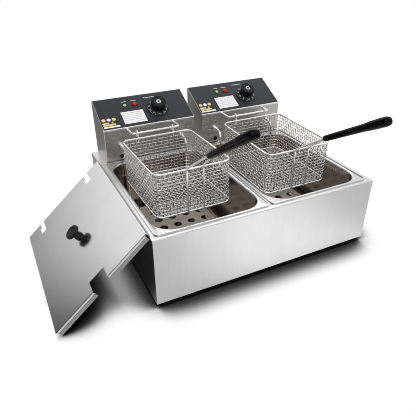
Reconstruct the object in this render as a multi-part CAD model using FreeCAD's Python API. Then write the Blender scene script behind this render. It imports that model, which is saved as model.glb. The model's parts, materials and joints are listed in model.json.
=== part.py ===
import FreeCAD, Part
import math
import os

# Countertop deep fryer with two lift-out tanks, two control heads, two hanging baskets and a lid.
# Sizes are in millimetres. X runs across the front, Y from the front to the back, Z up.
# Pieces are drawn with X = 0 at the casing's middle, Y = 0 at its front face and Z = 0 where it stands.

# Casing
sheet = 1.2
sheet_bend = 2.0
casing_height = 158.0
side_strip = 9.5
front_strip = 11.0
rear_shelf = 90.0
foot_height = 12.0
foot_radius = 20.0
foot_taper = 3.0
foot_inset = 45.0
foot_screw_radius = 2.5
foot_screw_head_radius = 5.0
foot_screw_head_height = 3.0
foot_screw_depth = 7.0

# Tanks
tank_width = 264.0
tank_length = 357.0
tank_gap = 3.0
tank_wall = 1.0
tank_lift_gap = 8.0
flange_width = 11.0
flange_corner = 12.0
flange_sheet = 1.2
hem_width = 3.5
hem_rise = 1.6
hem_round = 0.7
mouth_corner = 46.0
mouth_bend = 4.0
floor_bend = 14.0
rim_gap = 1.5

# Heating elements and their guards
element_radius = 4.0
element_margin = 50.0
element_runs = 6
element_rise = 10.0
element_exit = 42.0
element_front_gap = 40.0
element_back_gap = 36.0
element_leg_bend = 22.0
element_foot_bend = 14.0
element_tail = 12.0
element_collar_radius = 8.0
element_collar_length = 3.5
guard_element_gap = 9.8
guard_sheet = 1.2
guard_seat_gap = 0.3
guard_front_gap = 10.0
guard_side_gap = 4.0
guard_hole_radius = 10.0
guard_hole_pitch = 37.5

# Control heads
head_margin = 9.5
head_depth = 93.0
head_front_height = 85.5
head_back_height = 134.0
head_gap = 4.5
head_sheet = 1.2
head_edge = 2.0
head_lip_height = 5.0
panel_margin = 2.0
panel_sheet = 0.8

# Lamps, placed from the panel's middle
lamp_up = 20.0
power_lamp_across = -45.0
power_lamp_radius = 5.2
heat_lamp_across = -18.5
heat_lamp_radius = 7.0
lamp_bezel = 1.2
lamp_neck_ratio = 0.75
lamp_dome_drop_ratio = 0.5
lamp_depth = 13.0

# Thermostats and knobs, placed from the panel's middle
knob_across = 35.5
knob_up = -5.5
knob_gap = 0.6
knob_height = 25.0
skirt_radius = 28.5
skirt_edge = 1.8
skirt_height = 5.0
cap_foot_radius = 17.5
cap_radius = 19.5
cap_round = 1.2
cap_recess_radius = 5.5
cap_recess_depth = 1.2
shaft_radius = 3.0
shaft_gap = 0.05
shaft_grip = 12.0
shaft_depth = 16.0
bush_radius = 5.0
bush_rise = 1.6
bush_gap = 1.0
thermostat_side = 36.0
thermostat_depth = 26.0
sensor_tube_radius = 1.0
sensor_bulb_radius = 3.0
sensor_bulb_length = 70.0
sensor_bulb_drop = 40.0
sensor_wall_gap = 3.0
sensor_leg_gap = 2.0
sensor_bend = 8.0
sensor_exit = 12.0
sensor_tail = 14.0
grommet_radius = 5.5
grommet_neck_radius = 4.0
grommet_lip = 2.0

# Pieces at the back of each head, placed from the unit's middle and the deck
limit_across = 60.0
limit_up = 40.0
limit_side = 28.0
limit_depth = 20.0
button_radius = 4.0
button_gap = 0.05
button_travel = 2.0
button_stand = 3.0
button_shoulder_radius = 5.5
button_shoulder = 1.5
button_well_gap = 0.5
gland_across = -60.0
gland_up = 30.0
gland_radius = 10.0
gland_length = 14.0
gland_neck_radius = 7.0
gland_nut = 5.0
gland_bore_radius = 4.0
terminal_across = -60.0
terminal_width = 44.0
terminal_depth = 18.0
terminal_height = 20.0
terminal_wall_gap = 16.0
terminal_ways = 3
terminal_hole_radius = 3.0

# Basket hangers
hanger_span = 124.0
hanger_radius = 2.5
hanger_reach = 37.5
hanger_drop = 4.5
hanger_bend = 6.0

# Baskets
basket_side_gap = 30.0
basket_depth = 224.0
basket_height = 104.0
basket_play = 7.0
basket_shift = {"left": -3.4, "right": 4.5}
basket_tilt = {"left": -1.6, "right": 1.2}
basket_corner = 18.0
rim_radius = 2.0
rim_drop = 10.3
mesh_pitch = 12.5
mesh_wire = 1.6
mesh_sheet = 1.4
wire_gap = 0.05
hook_radius = 2.0
hook_side_gap = 1.0
hook_gap = 0.3
hook_slack = 0.7
hook_tail = 8.0
hook_root = 10.0
hook_weld = 0.6
handle_radius = 2.2
handle_span = 38.0
handle_knee_rise = 4.0
handle_knee_bend = 12.0
handle_reach = 72.0
handle_rise = 52.0
handle_end_span = 12.0
handle_end_bend = 20.0
handle_grip_depth = 40.0
grip_length = 179.0
grip_pitch = 31.3
grip_inner_width = 20.0
grip_inner_thick = 10.5
grip_outer_width = 24.0
grip_outer_thick = 19.0
grip_dome = 8.0
grip_dome_ratio = 0.55

# Lid, which stands on its lower lip and leans on the casing's left edge
lid_side_gap = 2.0
lid_overhang = 1.0
lid_lip = 14.0
lid_front = 14.0
lid_rest_depth = 3.0
lid_rest_gap = 0.3
lid_corner_gap = 1.0
lid_notch_gap = 2.0
lid_notch_depth = 33.0
lid_slot_gap = 4.2
lid_slot_depth = 40.0
lid_slot_tooth = 4.0
lid_slot_throat = 15.0
lid_knob_radius = 17.0
lid_knob_rim = 6.0
lid_knob_edge = 2.3
lid_knob_neck_radius = 8.0
lid_knob_foot_radius = 10.0
lid_knob_height = 22.0
lid_screw_radius = 2.5
lid_screw_depth = 14.0
lid_screw_head_radius = 5.0
lid_screw_head_height = 2.5

# Worked out: heights and the main lines across the casing
deck_z = foot_height + casing_height
rim_under_z = deck_z - sheet
floor_sheet_z = foot_height + sheet
unit_pitch = tank_width + tank_gap
unit_centres = {"left": -unit_pitch / 2, "right": unit_pitch / 2}
casing_half = tank_width + tank_gap / 2 + side_strip
tank_half = tank_width / 2
tank_front = front_strip
tank_back = tank_front + tank_length
casing_depth = tank_back + rear_shelf
mouth_half = tank_half - flange_width
mouth_front = tank_front + flange_width
mouth_back = tank_back - flange_width
rim_reach = tank_wall + mouth_bend + rim_gap
tank_floor_z = floor_sheet_z + tank_lift_gap + tank_wall
flange_z = deck_z + flange_sheet
tank_top_z = flange_z + hem_rise

# Worked out: the element, its guard and the sensor
element_span = tank_width - 2 * element_margin
sensor_y = mouth_back - sensor_wall_gap - sensor_bulb_radius
leg_y = sensor_y - sensor_bulb_radius - sensor_leg_gap - element_radius
element_z = tank_floor_z + element_rise + element_radius
element_exit_z = deck_z + element_exit
guard_z = element_z + element_radius + guard_seat_gap
guard_width = element_span + 2 * (element_radius + guard_element_gap + guard_sheet)
guard_front = mouth_front + guard_front_gap
guard_back = leg_y - element_foot_bend

# Worked out: the control head and its sloping panel
head_half = tank_half - head_margin
head_front = tank_back + head_gap
head_back = head_front + head_depth
head_floor_z = deck_z + head_sheet
head_front_z = deck_z + head_front_height
head_back_z = deck_z + head_back_height
panel_slope = math.degrees(math.atan2(head_back_z - head_front_z, head_depth))
panel_length = math.hypot(head_back_z - head_front_z, head_depth)
panel_middle = panel_length / 2
cover_in = head_back - head_sheet

# Worked out: the hanger's bar and the basket that hangs on it
bar_y = head_front - hanger_reach
bar_z = head_front_z - hanger_drop
hook_top_z = bar_z + hanger_radius + hook_gap + hook_radius
hook_bend = hanger_radius + hook_gap + hook_slack + hook_radius
hook_y = bar_y - hook_bend
hook_span = hanger_span - 2 * (hanger_bend + hook_radius + hook_side_gap + basket_play)
rim_z = bar_z - rim_drop
rim_back = hook_y - hook_radius - rim_radius + hook_weld
rim_front = rim_back - basket_depth + 2 * rim_radius
rim_half = mouth_half - basket_side_gap - rim_radius
ring_z = rim_z - basket_height + 2 * rim_radius
handle_y = rim_front - rim_radius - handle_radius - wire_gap
handle_knee_z = rim_z + handle_knee_rise
grip_y = handle_y - handle_reach
grip_z = handle_knee_z + handle_rise

# Worked out: the lid, flat, and how steeply it leans
lid_width = tank_width - 2 * lid_side_gap
lid_length = tank_length + lid_overhang
lid_lean = math.degrees(math.asin((deck_z + lid_rest_gap) / (lid_width - sheet)))
lid_foot_z = lid_lip * math.cos(math.radians(lid_lean))
lid_tip_x = lid_width * math.cos(math.radians(lid_lean)) + lid_lip * math.sin(math.radians(lid_lean))
lid_foot_x = -casing_half + lid_rest_depth - lid_tip_x
lid_corner_cut = (lid_rest_depth + lid_corner_gap) / math.cos(math.radians(lid_lean))
lid_notch_half = handle_span / 2 + lid_notch_gap
lid_slot_half = element_radius + lid_slot_gap


# Helpers

tolerance = 1e-3


def at(x, y, z):
    return FreeCAD.Vector(x, y, z)


def box(x0, x1, y0, y1, z0, z1):
    return Part.makeBox(x1 - x0, y1 - y0, z1 - z0, at(x0, y0, z0))


def rounded_box(x0, x1, y0, y1, z0, z1, corner):
    """Block with its four upright edges rounded."""
    block = box(x0, x1, y0, y1, z0, z1)
    upright = [e for e in block.Edges if e.Vertexes[0].Z != e.Vertexes[1].Z]
    return block.makeFillet(corner, upright)


def edges_at(shape, z, half, front, back):
    """Edges that lie flat at one height, within half of X = 0 and between two places along Y."""
    flat = [e for e in shape.Edges if max(abs(e.BoundBox.ZMin - z), abs(e.BoundBox.ZMax - z)) < tolerance]
    middle = [e for e in flat if max(abs(e.BoundBox.XMin), abs(e.BoundBox.XMax)) < half + tolerance]
    return [e for e in middle if e.BoundBox.YMin > front - tolerance and e.BoundBox.YMax < back + tolerance]


def cylinder(radius, start, end):
    return Part.makeCylinder(radius, (end - start).Length, start, end - start)


def turned(outline):
    """Solid turned about Z from (radius, height) points."""
    points = [at(r, 0, z) for r, z in outline]
    face = Part.Face(Part.makePolygon(points + points[:1]))
    return face.revolve(at(0, 0, 0), at(0, 0, 1), 360)


def bent_path(points, bends):
    """Straight runs joined by tangent arcs, one bend radius for each inner point."""
    edges = []
    start = points[0]
    for before, corner, after, bend in zip(points, points[1:], points[2:], bends):
        going = (corner - before).normalize()
        leaving = (after - corner).normalize()
        half_turn = going.getAngle(leaving) / 2
        inward = (leaving - going).normalize()
        run_end = corner - going * bend * math.tan(half_turn)
        arc_end = corner + leaving * bend * math.tan(half_turn)
        arc_middle = corner + inward * bend * (1 / math.cos(half_turn) - 1)
        if start.distanceToPoint(run_end) > tolerance:
            edges.append(Part.LineSegment(start, run_end).toShape())
        edges.append(Part.Arc(run_end, arc_middle, arc_end).toShape())
        start = arc_end
    if start.distanceToPoint(points[-1]) > tolerance:
        edges.append(Part.LineSegment(start, points[-1]).toShape())
    return Part.Wire(edges)


def rod(points, bends, radius):
    """Round rod bent along a path."""
    section = Part.Wire(Part.makeCircle(radius, points[0], points[1] - points[0]))
    return bent_path(points, bends).makePipeShell([section], True, False)


def wire_ring(z):
    """Closed ring of rim wire around the basket at one height."""
    middle = at(0, rim_front, z)
    corners = [at(x, y, z) for x, y in ((1, 0), (1, 1), (-1, 1), (-1, 0))]
    points = [at(c.x * rim_half, rim_back if c.y else rim_front, z) for c in corners]
    return rod([middle] + points + [middle], [basket_corner] * len(points), rim_radius)


def holed_panel(width, height):
    """Flat net in the XY plane, centred on X, with square gaps between wires."""
    outline = Part.makePolygon([at(x, y, 0) for x, y in rectangle(0, height / 2, width, height)])
    columns = int((width - mesh_wire) / mesh_pitch)
    rows = int((height - mesh_wire) / mesh_pitch)
    step_x = (width - mesh_wire) / columns
    step_y = (height - mesh_wire) / rows
    gaps = []
    for column in range(columns):
        for row in range(rows):
            x = mesh_wire / 2 - width / 2 + (column + 0.5) * step_x
            y = mesh_wire / 2 + (row + 0.5) * step_y
            gap = rectangle(x, y, step_x - mesh_wire, step_y - mesh_wire)
            gaps.append(Part.makePolygon([at(px, py, 0) for px, py in gap]))
    face = Part.makeFace([outline] + gaps, "Part::FaceMakerCheese")
    return face.extrude(at(0, 0, mesh_sheet))


def corner_net(height):
    """Quarter-round net about Z, with gaps between wires."""
    up = at(0, 0, 1)
    outside = basket_corner + mesh_sheet / 2
    net = Part.makeCylinder(outside, height, at(0, 0, 0), up, 90)
    net = net.cut(Part.makeCylinder(basket_corner - mesh_sheet / 2, height, at(0, 0, 0), up, 90))
    wire_turn = math.degrees(mesh_wire / basket_corner)
    columns = max(1, int(math.radians(90) * basket_corner / mesh_pitch))
    rows = int((height - mesh_wire) / mesh_pitch)
    step_turn = (90 - wire_turn) / columns
    step_z = (height - mesh_wire) / rows
    gaps = []
    for column in range(columns):
        for row in range(rows):
            foot = at(0, 0, mesh_wire + row * step_z)
            gap = Part.makeCylinder(2 * outside, step_z - mesh_wire, foot, up, step_turn - wire_turn)
            gaps.append(gap.rotated(at(0, 0, 0), up, wire_turn + column * step_turn))
    return net.cut(Part.makeCompound(gaps))


def rectangle(x, y, width, height):
    """Corner points of a rectangle about its middle, closed."""
    signs = ((-1, -1), (1, -1), (1, 1), (-1, 1), (-1, -1))
    return [(x + sx * width / 2, y + sy * height / 2) for sx, sy in signs]


def on_panel(shape, across, up):
    """Move a piece drawn about Z from the origin to a place on the head's sloping top."""
    shape = shape.translated(at(across, panel_middle + up, 0))
    shape = shape.rotated(at(0, 0, 0), at(1, 0, 0), panel_slope)
    return shape.translated(at(0, head_front, head_front_z))


def on_back(shape, across, up):
    """Turn a piece drawn about Z to point out of the head's back."""
    shape = shape.rotated(at(0, 0, 0), at(1, 0, 0), -90)
    return shape.translated(at(across, head_back, deck_z + up))


# Casing

def front_panel():
    rim_back_edge = mouth_front - rim_reach
    wall = box(-casing_half, casing_half, 0, rim_back_edge, foot_height, deck_z)
    fold = edges_at(wall, deck_z, casing_half, 0, 0)
    inside = box(-casing_half, casing_half, sheet, rim_back_edge, foot_height, rim_under_z)
    return wall.makeFillet(sheet_bend, fold).cut(inside)


def side_panel():
    """Right-hand side wall with its folded rim."""
    rim_edge = unit_centres["right"] + mouth_half + rim_reach
    rim_front_edge = mouth_front - rim_reach
    rim_back_edge = mouth_back + rim_reach
    wall = box(casing_half - sheet, casing_half, sheet, casing_depth - sheet, foot_height, rim_under_z)
    rim = box(rim_edge, casing_half, rim_front_edge, rim_back_edge, rim_under_z, deck_z)
    panel = wall.fuse(rim).removeSplitter()
    level = edges_at(panel, deck_z, casing_half, 0, casing_depth)
    fold = [e for e in level if e.BoundBox.XMin > casing_half - sheet]
    return panel.makeFillet(sheet_bend / 2, fold)


def rear_panel():
    return box(-casing_half, casing_half, casing_depth - sheet, casing_depth, foot_height, rim_under_z)


def base_plate():
    inner = casing_half - sheet
    plate = box(-inner, inner, sheet, casing_depth - sheet, foot_height, floor_sheet_z)
    for x, y in foot_places():
        plate = plate.cut(cylinder(foot_screw_radius, at(x, y, 0), at(x, y, floor_sheet_z)))
    return plate


def rear_deck():
    front = mouth_back + rim_reach
    return box(-casing_half, casing_half, front, casing_depth, rim_under_z, deck_z)


def centre_bar():
    half = unit_pitch / 2 - mouth_half - rim_reach
    return box(-half, half, mouth_front - rim_reach, mouth_back + rim_reach, rim_under_z, deck_z)


def foot_places():
    x = casing_half - foot_inset
    return [(sx * x, y) for sx in (-1, 1) for y in (foot_inset, casing_depth - foot_inset)]


def rubber_feet():
    screw_end = foot_height - foot_screw_depth
    outline = [(0, 0), (foot_radius - foot_taper, 0), (foot_radius, foot_height),
               (foot_screw_radius, foot_height), (foot_screw_radius, screw_end), (0, screw_end)]
    return Part.makeCompound([turned(outline).translated(at(x, y, 0)) for x, y in foot_places()])


def foot_screws():
    tip = foot_height - foot_screw_depth
    brim = floor_sheet_z + foot_screw_head_height / 2
    top = floor_sheet_z + foot_screw_head_height
    outline = [(0, tip), (foot_screw_radius, tip), (foot_screw_radius, floor_sheet_z),
               (foot_screw_head_radius, floor_sheet_z), (foot_screw_head_radius, brim),
               (foot_screw_radius, top), (0, top)]
    return Part.makeCompound([turned(outline).translated(at(x, y, 0)) for x, y in foot_places()])


def casing_pieces():
    right = side_panel()
    return {
        "front_panel": front_panel(),
        "left_side_panel": right.mirror(at(0, 0, 0), at(1, 0, 0)),
        "right_side_panel": right,
        "rear_panel": rear_panel(),
        "base_plate": base_plate(),
        "rear_deck": rear_deck(),
        "centre_bar": centre_bar(),
        "rubber_feet": rubber_feet(),
        "foot_screws": foot_screws(),
    }


# Tank and heating element

def tank():
    """Drawn pan: bowl, bent mouth, flat flange and a raised hem around it."""
    flange = rounded_box(-tank_half, tank_half, tank_front, tank_back, deck_z, tank_top_z, flange_corner)
    flange = flange.makeFillet(hem_round, edges_at(flange, tank_top_z, tank_half, tank_front, tank_back))
    tray_half = tank_half - hem_width
    tray = rounded_box(-tray_half, tray_half, tank_front + hem_width, tank_back - hem_width,
                       flange_z, tank_top_z, flange_corner - hem_width)
    under_z = tank_floor_z - tank_wall
    bowl = rounded_box(-mouth_half - tank_wall, mouth_half + tank_wall, mouth_front - tank_wall,
                       mouth_back + tank_wall, under_z, deck_z, mouth_corner + tank_wall)
    under = edges_at(bowl, under_z, tank_half, tank_front, tank_back)
    bowl = bowl.makeFillet(floor_bend + tank_wall, under)
    hollow = rounded_box(-mouth_half, mouth_half, mouth_front, mouth_back, tank_floor_z, tank_top_z,
                         mouth_corner)
    foot = edges_at(hollow, tank_floor_z, mouth_half, mouth_front, mouth_back)
    hollow = hollow.makeFillet(floor_bend, foot)
    pan = bowl.fuse(flange)
    neck = edges_at(pan, deck_z, mouth_half + tank_wall, mouth_front - tank_wall, mouth_back + tank_wall)
    pan = pan.makeFillet(mouth_bend, neck)
    pan = pan.cut(tray).cut(hollow)
    mouth = edges_at(pan, flange_z, mouth_half, mouth_front, mouth_back)
    return pan.makeFillet(mouth_bend + tank_wall, mouth)


def heating_element():
    """Tube that leaves the head twice and winds to and fro over the tank's floor, with brazed collars."""
    step = element_span / (element_runs - 1)
    turn_front = mouth_front + element_front_gap
    turn_back = leg_y - element_back_gap
    first_x = -element_span / 2
    points = [at(first_x, head_front + element_tail, element_exit_z), at(first_x, leg_y, element_exit_z),
              at(first_x, leg_y, element_z)]
    bends = [element_leg_bend, element_foot_bend]
    for run in range(element_runs - 1):
        turn_y = turn_front if run % 2 == 0 else turn_back
        run_x = first_x + run * step
        points += [at(run_x, turn_y, element_z), at(run_x + step, turn_y, element_z)]
        bends += [step / 2, step / 2]
    points += [at(-first_x, leg_y, element_z), at(-first_x, leg_y, element_exit_z),
               at(-first_x, head_front + element_tail, element_exit_z)]
    bends += [element_foot_bend, element_leg_bend]
    element = rod(points, bends, element_radius)
    for x in (first_x, -first_x):
        seat = at(x, head_front, element_exit_z)
        collar_end = seat - at(0, element_collar_length, 0)
        element = element.fuse(cylinder(element_collar_radius, seat, collar_end))
    return element


def element_guard():
    """Perforated plate over the element, with its sides turned down."""
    half = guard_width / 2
    top = guard_z + guard_sheet
    guard = box(-half, half, guard_front, guard_back, guard_z, top)
    side_front = guard_front + floor_bend + guard_side_gap
    for x in (-half, half - guard_sheet):
        side = box(x, x + guard_sheet, side_front, guard_back, tank_floor_z + guard_seat_gap, guard_z)
        guard = guard.fuse(side)
    columns = int(guard_width / guard_hole_pitch)
    rows = int((guard_back - guard_front) / guard_hole_pitch)
    middle_y = (guard_front + guard_back) / 2
    holes = []
    for column in range(columns):
        for row in range(rows):
            x = (column - (columns - 1) / 2) * guard_hole_pitch
            y = middle_y + (row - (rows - 1) / 2) * guard_hole_pitch
            holes.append(cylinder(guard_hole_radius, at(x, y, guard_z), at(x, y, top)))
    return guard.cut(Part.makeCompound(holes)).removeSplitter()


# Control head

def head_wedge(inset, y_back):
    """Block with the head's sloping top, set in by one sheet's thickness or not at all."""
    rise = (head_back_z - head_front_z) / head_depth
    lower = inset / math.cos(math.radians(panel_slope))
    front = head_front + inset
    half = head_half - inset
    outline = [(front, head_floor_z), (y_back, head_floor_z),
               (y_back, head_front_z + (y_back - head_front) * rise - lower),
               (front, head_front_z + inset * rise - lower)]
    points = [at(-half, y, z) for y, z in outline]
    return Part.Face(Part.makePolygon(points + points[:1])).extrude(at(2 * half, 0, 0))


def panel_holes():
    """Drills for the lamps and the thermostat's bush, through the sloping top."""
    reach = head_sheet + panel_sheet
    power_neck = power_lamp_radius * lamp_neck_ratio
    heat_neck = heat_lamp_radius * lamp_neck_ratio
    places = ((power_neck, power_lamp_across, lamp_up), (heat_neck, heat_lamp_across, lamp_up),
              (bush_radius, knob_across, knob_up))
    drills = []
    for radius, across, up in places:
        drill = cylinder(radius, at(0, 0, -2 * reach), at(0, 0, 2 * reach))
        drills.append(on_panel(drill, across, up))
    return Part.makeCompound(drills)


def sensor_place():
    """Middle of the sensor tube's way through the head's front."""
    return at(-element_span / 2, head_front, deck_z + sensor_exit)


def head_shell():
    """Folded hood: front, two sides and sloping top, open at the back and below."""
    block = head_wedge(0, head_back)
    raised = [e for e in block.Edges if e.BoundBox.ZMax > head_floor_z + tolerance]
    folds = [e for e in raised if e.BoundBox.YMin < head_back - tolerance]
    shell = block.makeFillet(head_edge, folds).cut(head_wedge(head_sheet, head_back)).cut(panel_holes())
    through = at(0, 2 * head_sheet, 0)
    for x in (-element_span / 2, element_span / 2):
        way = at(x, head_front, element_exit_z)
        shell = shell.cut(cylinder(element_radius, way - through, way + through))
    return shell.cut(cylinder(grommet_neck_radius, sensor_place() - through, sensor_place() + through))


def head_cover():
    """Rear cover, set inside the hood's back edge."""
    cover = head_wedge(head_sheet, head_back).cut(head_wedge(head_sheet, cover_in))
    inner = at(0, 0, -2 * head_sheet)
    outer = at(0, 0, head_sheet)
    button_hole = cylinder(button_radius + button_gap, inner, outer)
    gland_hole = cylinder(gland_neck_radius, inner, outer)
    cover = cover.cut(on_back(button_hole, limit_across, limit_up))
    return cover.cut(on_back(gland_hole, gland_across, gland_up))


def head_base():
    """Floor of the head, with a lip folded up in front of the hood."""
    lip_front = head_front - head_sheet
    floor = box(-head_half, head_half, lip_front, head_back, deck_z, head_floor_z)
    lip = box(-head_half, head_half, lip_front, head_front, deck_z, deck_z + head_lip_height)
    return floor.fuse(lip).removeSplitter()


def control_panel():
    half = head_half - panel_margin
    plate = box(-half, half, panel_margin - panel_middle, panel_middle - panel_margin, 0, panel_sheet)
    return on_panel(plate, 0, 0).cut(panel_holes())


def lamp(radius, across):
    """Domed lens on a bezel, with its neck through the panel."""
    neck = radius * lamp_neck_ratio
    bezel_top = panel_sheet + lamp_bezel
    dome = Part.makeSphere(radius, at(0, 0, bezel_top - radius * lamp_dome_drop_ratio))
    dome = dome.common(cylinder(radius, at(0, 0, bezel_top), at(0, 0, bezel_top + radius)))
    body = turned([(0, -lamp_depth), (neck, -lamp_depth), (neck, panel_sheet), (radius, panel_sheet),
                   (radius, bezel_top), (0, bezel_top)])
    return on_panel(body.fuse(dome), across, lamp_up)


def thermostat():
    """Switch body under the sloping top, with a bush for the knob's shaft."""
    half = thermostat_side / 2
    body = box(-half, half, -half, half, -head_sheet - thermostat_depth, -head_sheet)
    bush = cylinder(bush_radius, at(0, 0, -head_sheet), at(0, 0, panel_sheet + bush_rise))
    bore = cylinder(shaft_radius + shaft_gap, at(0, 0, -shaft_depth - shaft_gap), at(0, 0, knob_height))
    return on_panel(body.fuse(bush).cut(bore), knob_across, knob_up)


def knob_shaft():
    top = panel_sheet + bush_rise + bush_gap + shaft_grip
    return on_panel(cylinder(shaft_radius, at(0, 0, -shaft_depth), at(0, 0, top)), knob_across, knob_up)


def knob():
    """Dial with a sloping skirt and a tall cap, hollow over the bush."""
    foot = panel_sheet + knob_gap
    roof = panel_sheet + bush_rise + bush_gap
    top = foot + knob_height
    outline = [(0, roof + shaft_grip), (shaft_radius, roof + shaft_grip), (shaft_radius, roof),
               (bush_radius + bush_gap, roof), (bush_radius + bush_gap, foot), (skirt_radius, foot),
               (skirt_radius, foot + skirt_edge), (cap_foot_radius, foot + skirt_height),
               (cap_radius, top - cap_round), (cap_radius - cap_round, top), (cap_recess_radius, top),
               (cap_recess_radius, top - cap_recess_depth), (0, top - cap_recess_depth)]
    return on_panel(turned(outline), knob_across, knob_up)


def sensor():
    """Thin tube from inside the head, through its front and down to a bulb behind the element's leg."""
    start = sensor_place() + at(0, sensor_tail, 0)
    corner = at(start.x, sensor_y, start.z)
    bulb_top = at(start.x, sensor_y, flange_z - sensor_bulb_drop)
    tube = rod([start, corner, bulb_top], [sensor_bend], sensor_tube_radius)
    return tube.fuse(cylinder(sensor_bulb_radius, bulb_top, bulb_top - at(0, 0, sensor_bulb_length)))


def sensor_grommet():
    """Rubber ring in the hood's front, around the sensor's tube."""
    outline = [(sensor_tube_radius, -grommet_lip), (grommet_radius, -grommet_lip), (grommet_radius, 0),
               (grommet_neck_radius, 0), (grommet_neck_radius, head_sheet), (grommet_radius, head_sheet),
               (grommet_radius, head_sheet + grommet_lip), (sensor_tube_radius, head_sheet + grommet_lip)]
    ring = turned(outline).rotated(at(0, 0, 0), at(1, 0, 0), -90)
    return ring.translated(sensor_place())


def limit_switch():
    """High-limit cut-out against the rear cover, with a well for its reset button."""
    half = limit_side / 2
    body = box(-half, half, -half, half, -head_sheet - limit_depth, -head_sheet)
    floor = -head_sheet - button_shoulder - 2 * button_travel
    well = cylinder(button_shoulder_radius + button_well_gap, at(0, 0, floor), at(0, 0, 0))
    return on_back(body.cut(well), limit_across, limit_up)


def reset_button():
    inner = -head_sheet - button_shoulder
    outline = [(0, inner), (button_shoulder_radius, inner), (button_shoulder_radius, -head_sheet),
               (button_radius, -head_sheet), (button_radius, button_stand), (0, button_stand)]
    return on_back(turned(outline), limit_across, limit_up)


def cable_gland():
    """Gland with an outer body, a neck through the rear cover and an inner nut."""
    outline = [(gland_bore_radius, -head_sheet - gland_nut), (gland_radius, -head_sheet - gland_nut),
               (gland_radius, -head_sheet), (gland_neck_radius, -head_sheet), (gland_neck_radius, 0),
               (gland_radius, 0), (gland_radius, gland_length / 2), (gland_neck_radius, gland_length),
               (gland_bore_radius, gland_length)]
    return on_back(turned(outline), gland_across, gland_up)


def terminal_block():
    back = cover_in - terminal_wall_gap
    front = back - terminal_depth
    left = terminal_across - terminal_width / 2
    block = box(left, left + terminal_width, front, back, head_floor_z, head_floor_z + terminal_height)
    step = terminal_width / terminal_ways
    for way in range(terminal_ways):
        hole = at(left + (way + 0.5) * step, front, head_floor_z + terminal_height / 2)
        block = block.cut(cylinder(terminal_hole_radius, hole, hole + at(0, terminal_depth, 0)))
    return block


def basket_hanger():
    """U-shaped rod on the head's front that carries the basket."""
    half = hanger_span / 2
    points = [at(-half, head_front, bar_z), at(-half, bar_y, bar_z), at(half, bar_y, bar_z),
              at(half, head_front, bar_z)]
    return rod(points, [hanger_bend, hanger_bend], hanger_radius)


# Basket, drawn level about its own middle, then hung

def basket_mesh():
    """Four flat nets, four rounded corners and a floor net, each a separate panel."""
    wall_foot = ring_z + rim_radius + wire_gap
    wall_height = rim_z - rim_radius - wire_gap - wall_foot
    half_sheet = mesh_sheet / 2
    middle_y = (rim_front + rim_back) / 2
    across = 2 * (rim_half - basket_corner)
    along = rim_back - rim_front - 2 * basket_corner
    panels = []
    for width, turn, x, y in ((across, 0, 0, rim_front), (across, 180, 0, rim_back),
                              (along, 90, rim_half, middle_y), (along, 270, -rim_half, middle_y)):
        panel = holed_panel(width, wall_height).rotated(at(0, 0, 0), at(1, 0, 0), 90)
        panel = panel.translated(at(0, half_sheet, 0)).rotated(at(0, 0, 0), at(0, 0, 1), turn)
        panels.append(panel.translated(at(x, y, wall_foot)))
    for sx, sy, turn in ((1, 1, 0), (-1, 1, 90), (-1, -1, 180), (1, -1, 270)):
        x = sx * (rim_half - basket_corner)
        y = middle_y + sy * along / 2
        corner = corner_net(wall_height).rotated(at(0, 0, 0), at(0, 0, 1), turn)
        panels.append(corner.translated(at(x, y, wall_foot)))
    floor_half = rim_half - rim_radius - wire_gap
    floor_length = rim_back - rim_front - 2 * (rim_radius + wire_gap)
    floor = holed_panel(2 * floor_half, floor_length)
    floor = floor.translated(at(0, rim_front + rim_radius + wire_gap, ring_z - half_sheet))
    trim = rounded_box(-floor_half, floor_half, rim_front + rim_radius + wire_gap,
                       rim_back - rim_radius - wire_gap, ring_z - mesh_sheet, ring_z + mesh_sheet,
                       basket_corner - rim_radius - wire_gap)
    panels.append(floor.common(trim))
    return Part.makeCompound(panels)


def basket_frame():
    """Rim wire with two hooks over the hanger's bar, and the ring around the floor."""
    rim = wire_ring(rim_z)
    for x in (-hook_span / 2, hook_span / 2):
        points = [at(x, hook_y, rim_z - hook_root), at(x, hook_y, hook_top_z),
                  at(x, bar_y + hook_bend, hook_top_z), at(x, bar_y + hook_bend, bar_z - hook_tail)]
        rim = rim.fuse(rod(points, [hook_bend, hook_bend], hook_radius))
    return Part.makeCompound(rim.Solids + [wire_ring(ring_z)])


def handle_wire(side):
    """One wire of the handle: up the front net, over the rim and into the grip."""
    x = side * handle_span / 2
    end_x = side * handle_end_span / 2
    pitch = math.radians(grip_pitch)
    along_grip = at(0, -math.cos(pitch), math.sin(pitch))
    mouth = at(end_x, grip_y, grip_z)
    points = [at(x, handle_y, ring_z), at(x, handle_y, handle_knee_z), mouth,
              mouth + along_grip * handle_grip_depth]
    return rod(points, [handle_knee_bend, handle_end_bend], handle_radius)


def basket_handle():
    return Part.makeCompound([handle_wire(-1), handle_wire(1)])


def basket_grip():
    """Tapered oval grip with a domed end, bored for the handle's wires."""
    domed = grip_length - grip_dome
    outer = (grip_outer_width, grip_outer_thick)
    stations = [(0, grip_inner_width, grip_inner_thick), (domed, *outer),
                (grip_length, grip_dome_ratio * outer[0], grip_dome_ratio * outer[1])]
    sections = []
    for reach, width, thick in stations:
        oval = Part.Ellipse(at(0, 0, 0), width / 2, thick / 2).toShape()
        sections.append(Part.Wire(oval).translated(at(0, 0, reach)))
    body = Part.makeLoft(sections[:2], True, True).fuse(Part.makeLoft(sections[1:], True, True))
    grip = body.rotated(at(0, 0, 0), at(1, 0, 0), 90 - grip_pitch).translated(at(0, grip_y, grip_z))
    return grip.cut(basket_handle())


def hung(shape, side):
    """Hang a basket piece on its bar, tilted about the bar and slid along it as that basket rests."""
    shape = shape.rotated(at(0, bar_y, bar_z), at(1, 0, 0), basket_tilt[side])
    return shape.translated(at(basket_shift[side], 0, 0))


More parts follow.
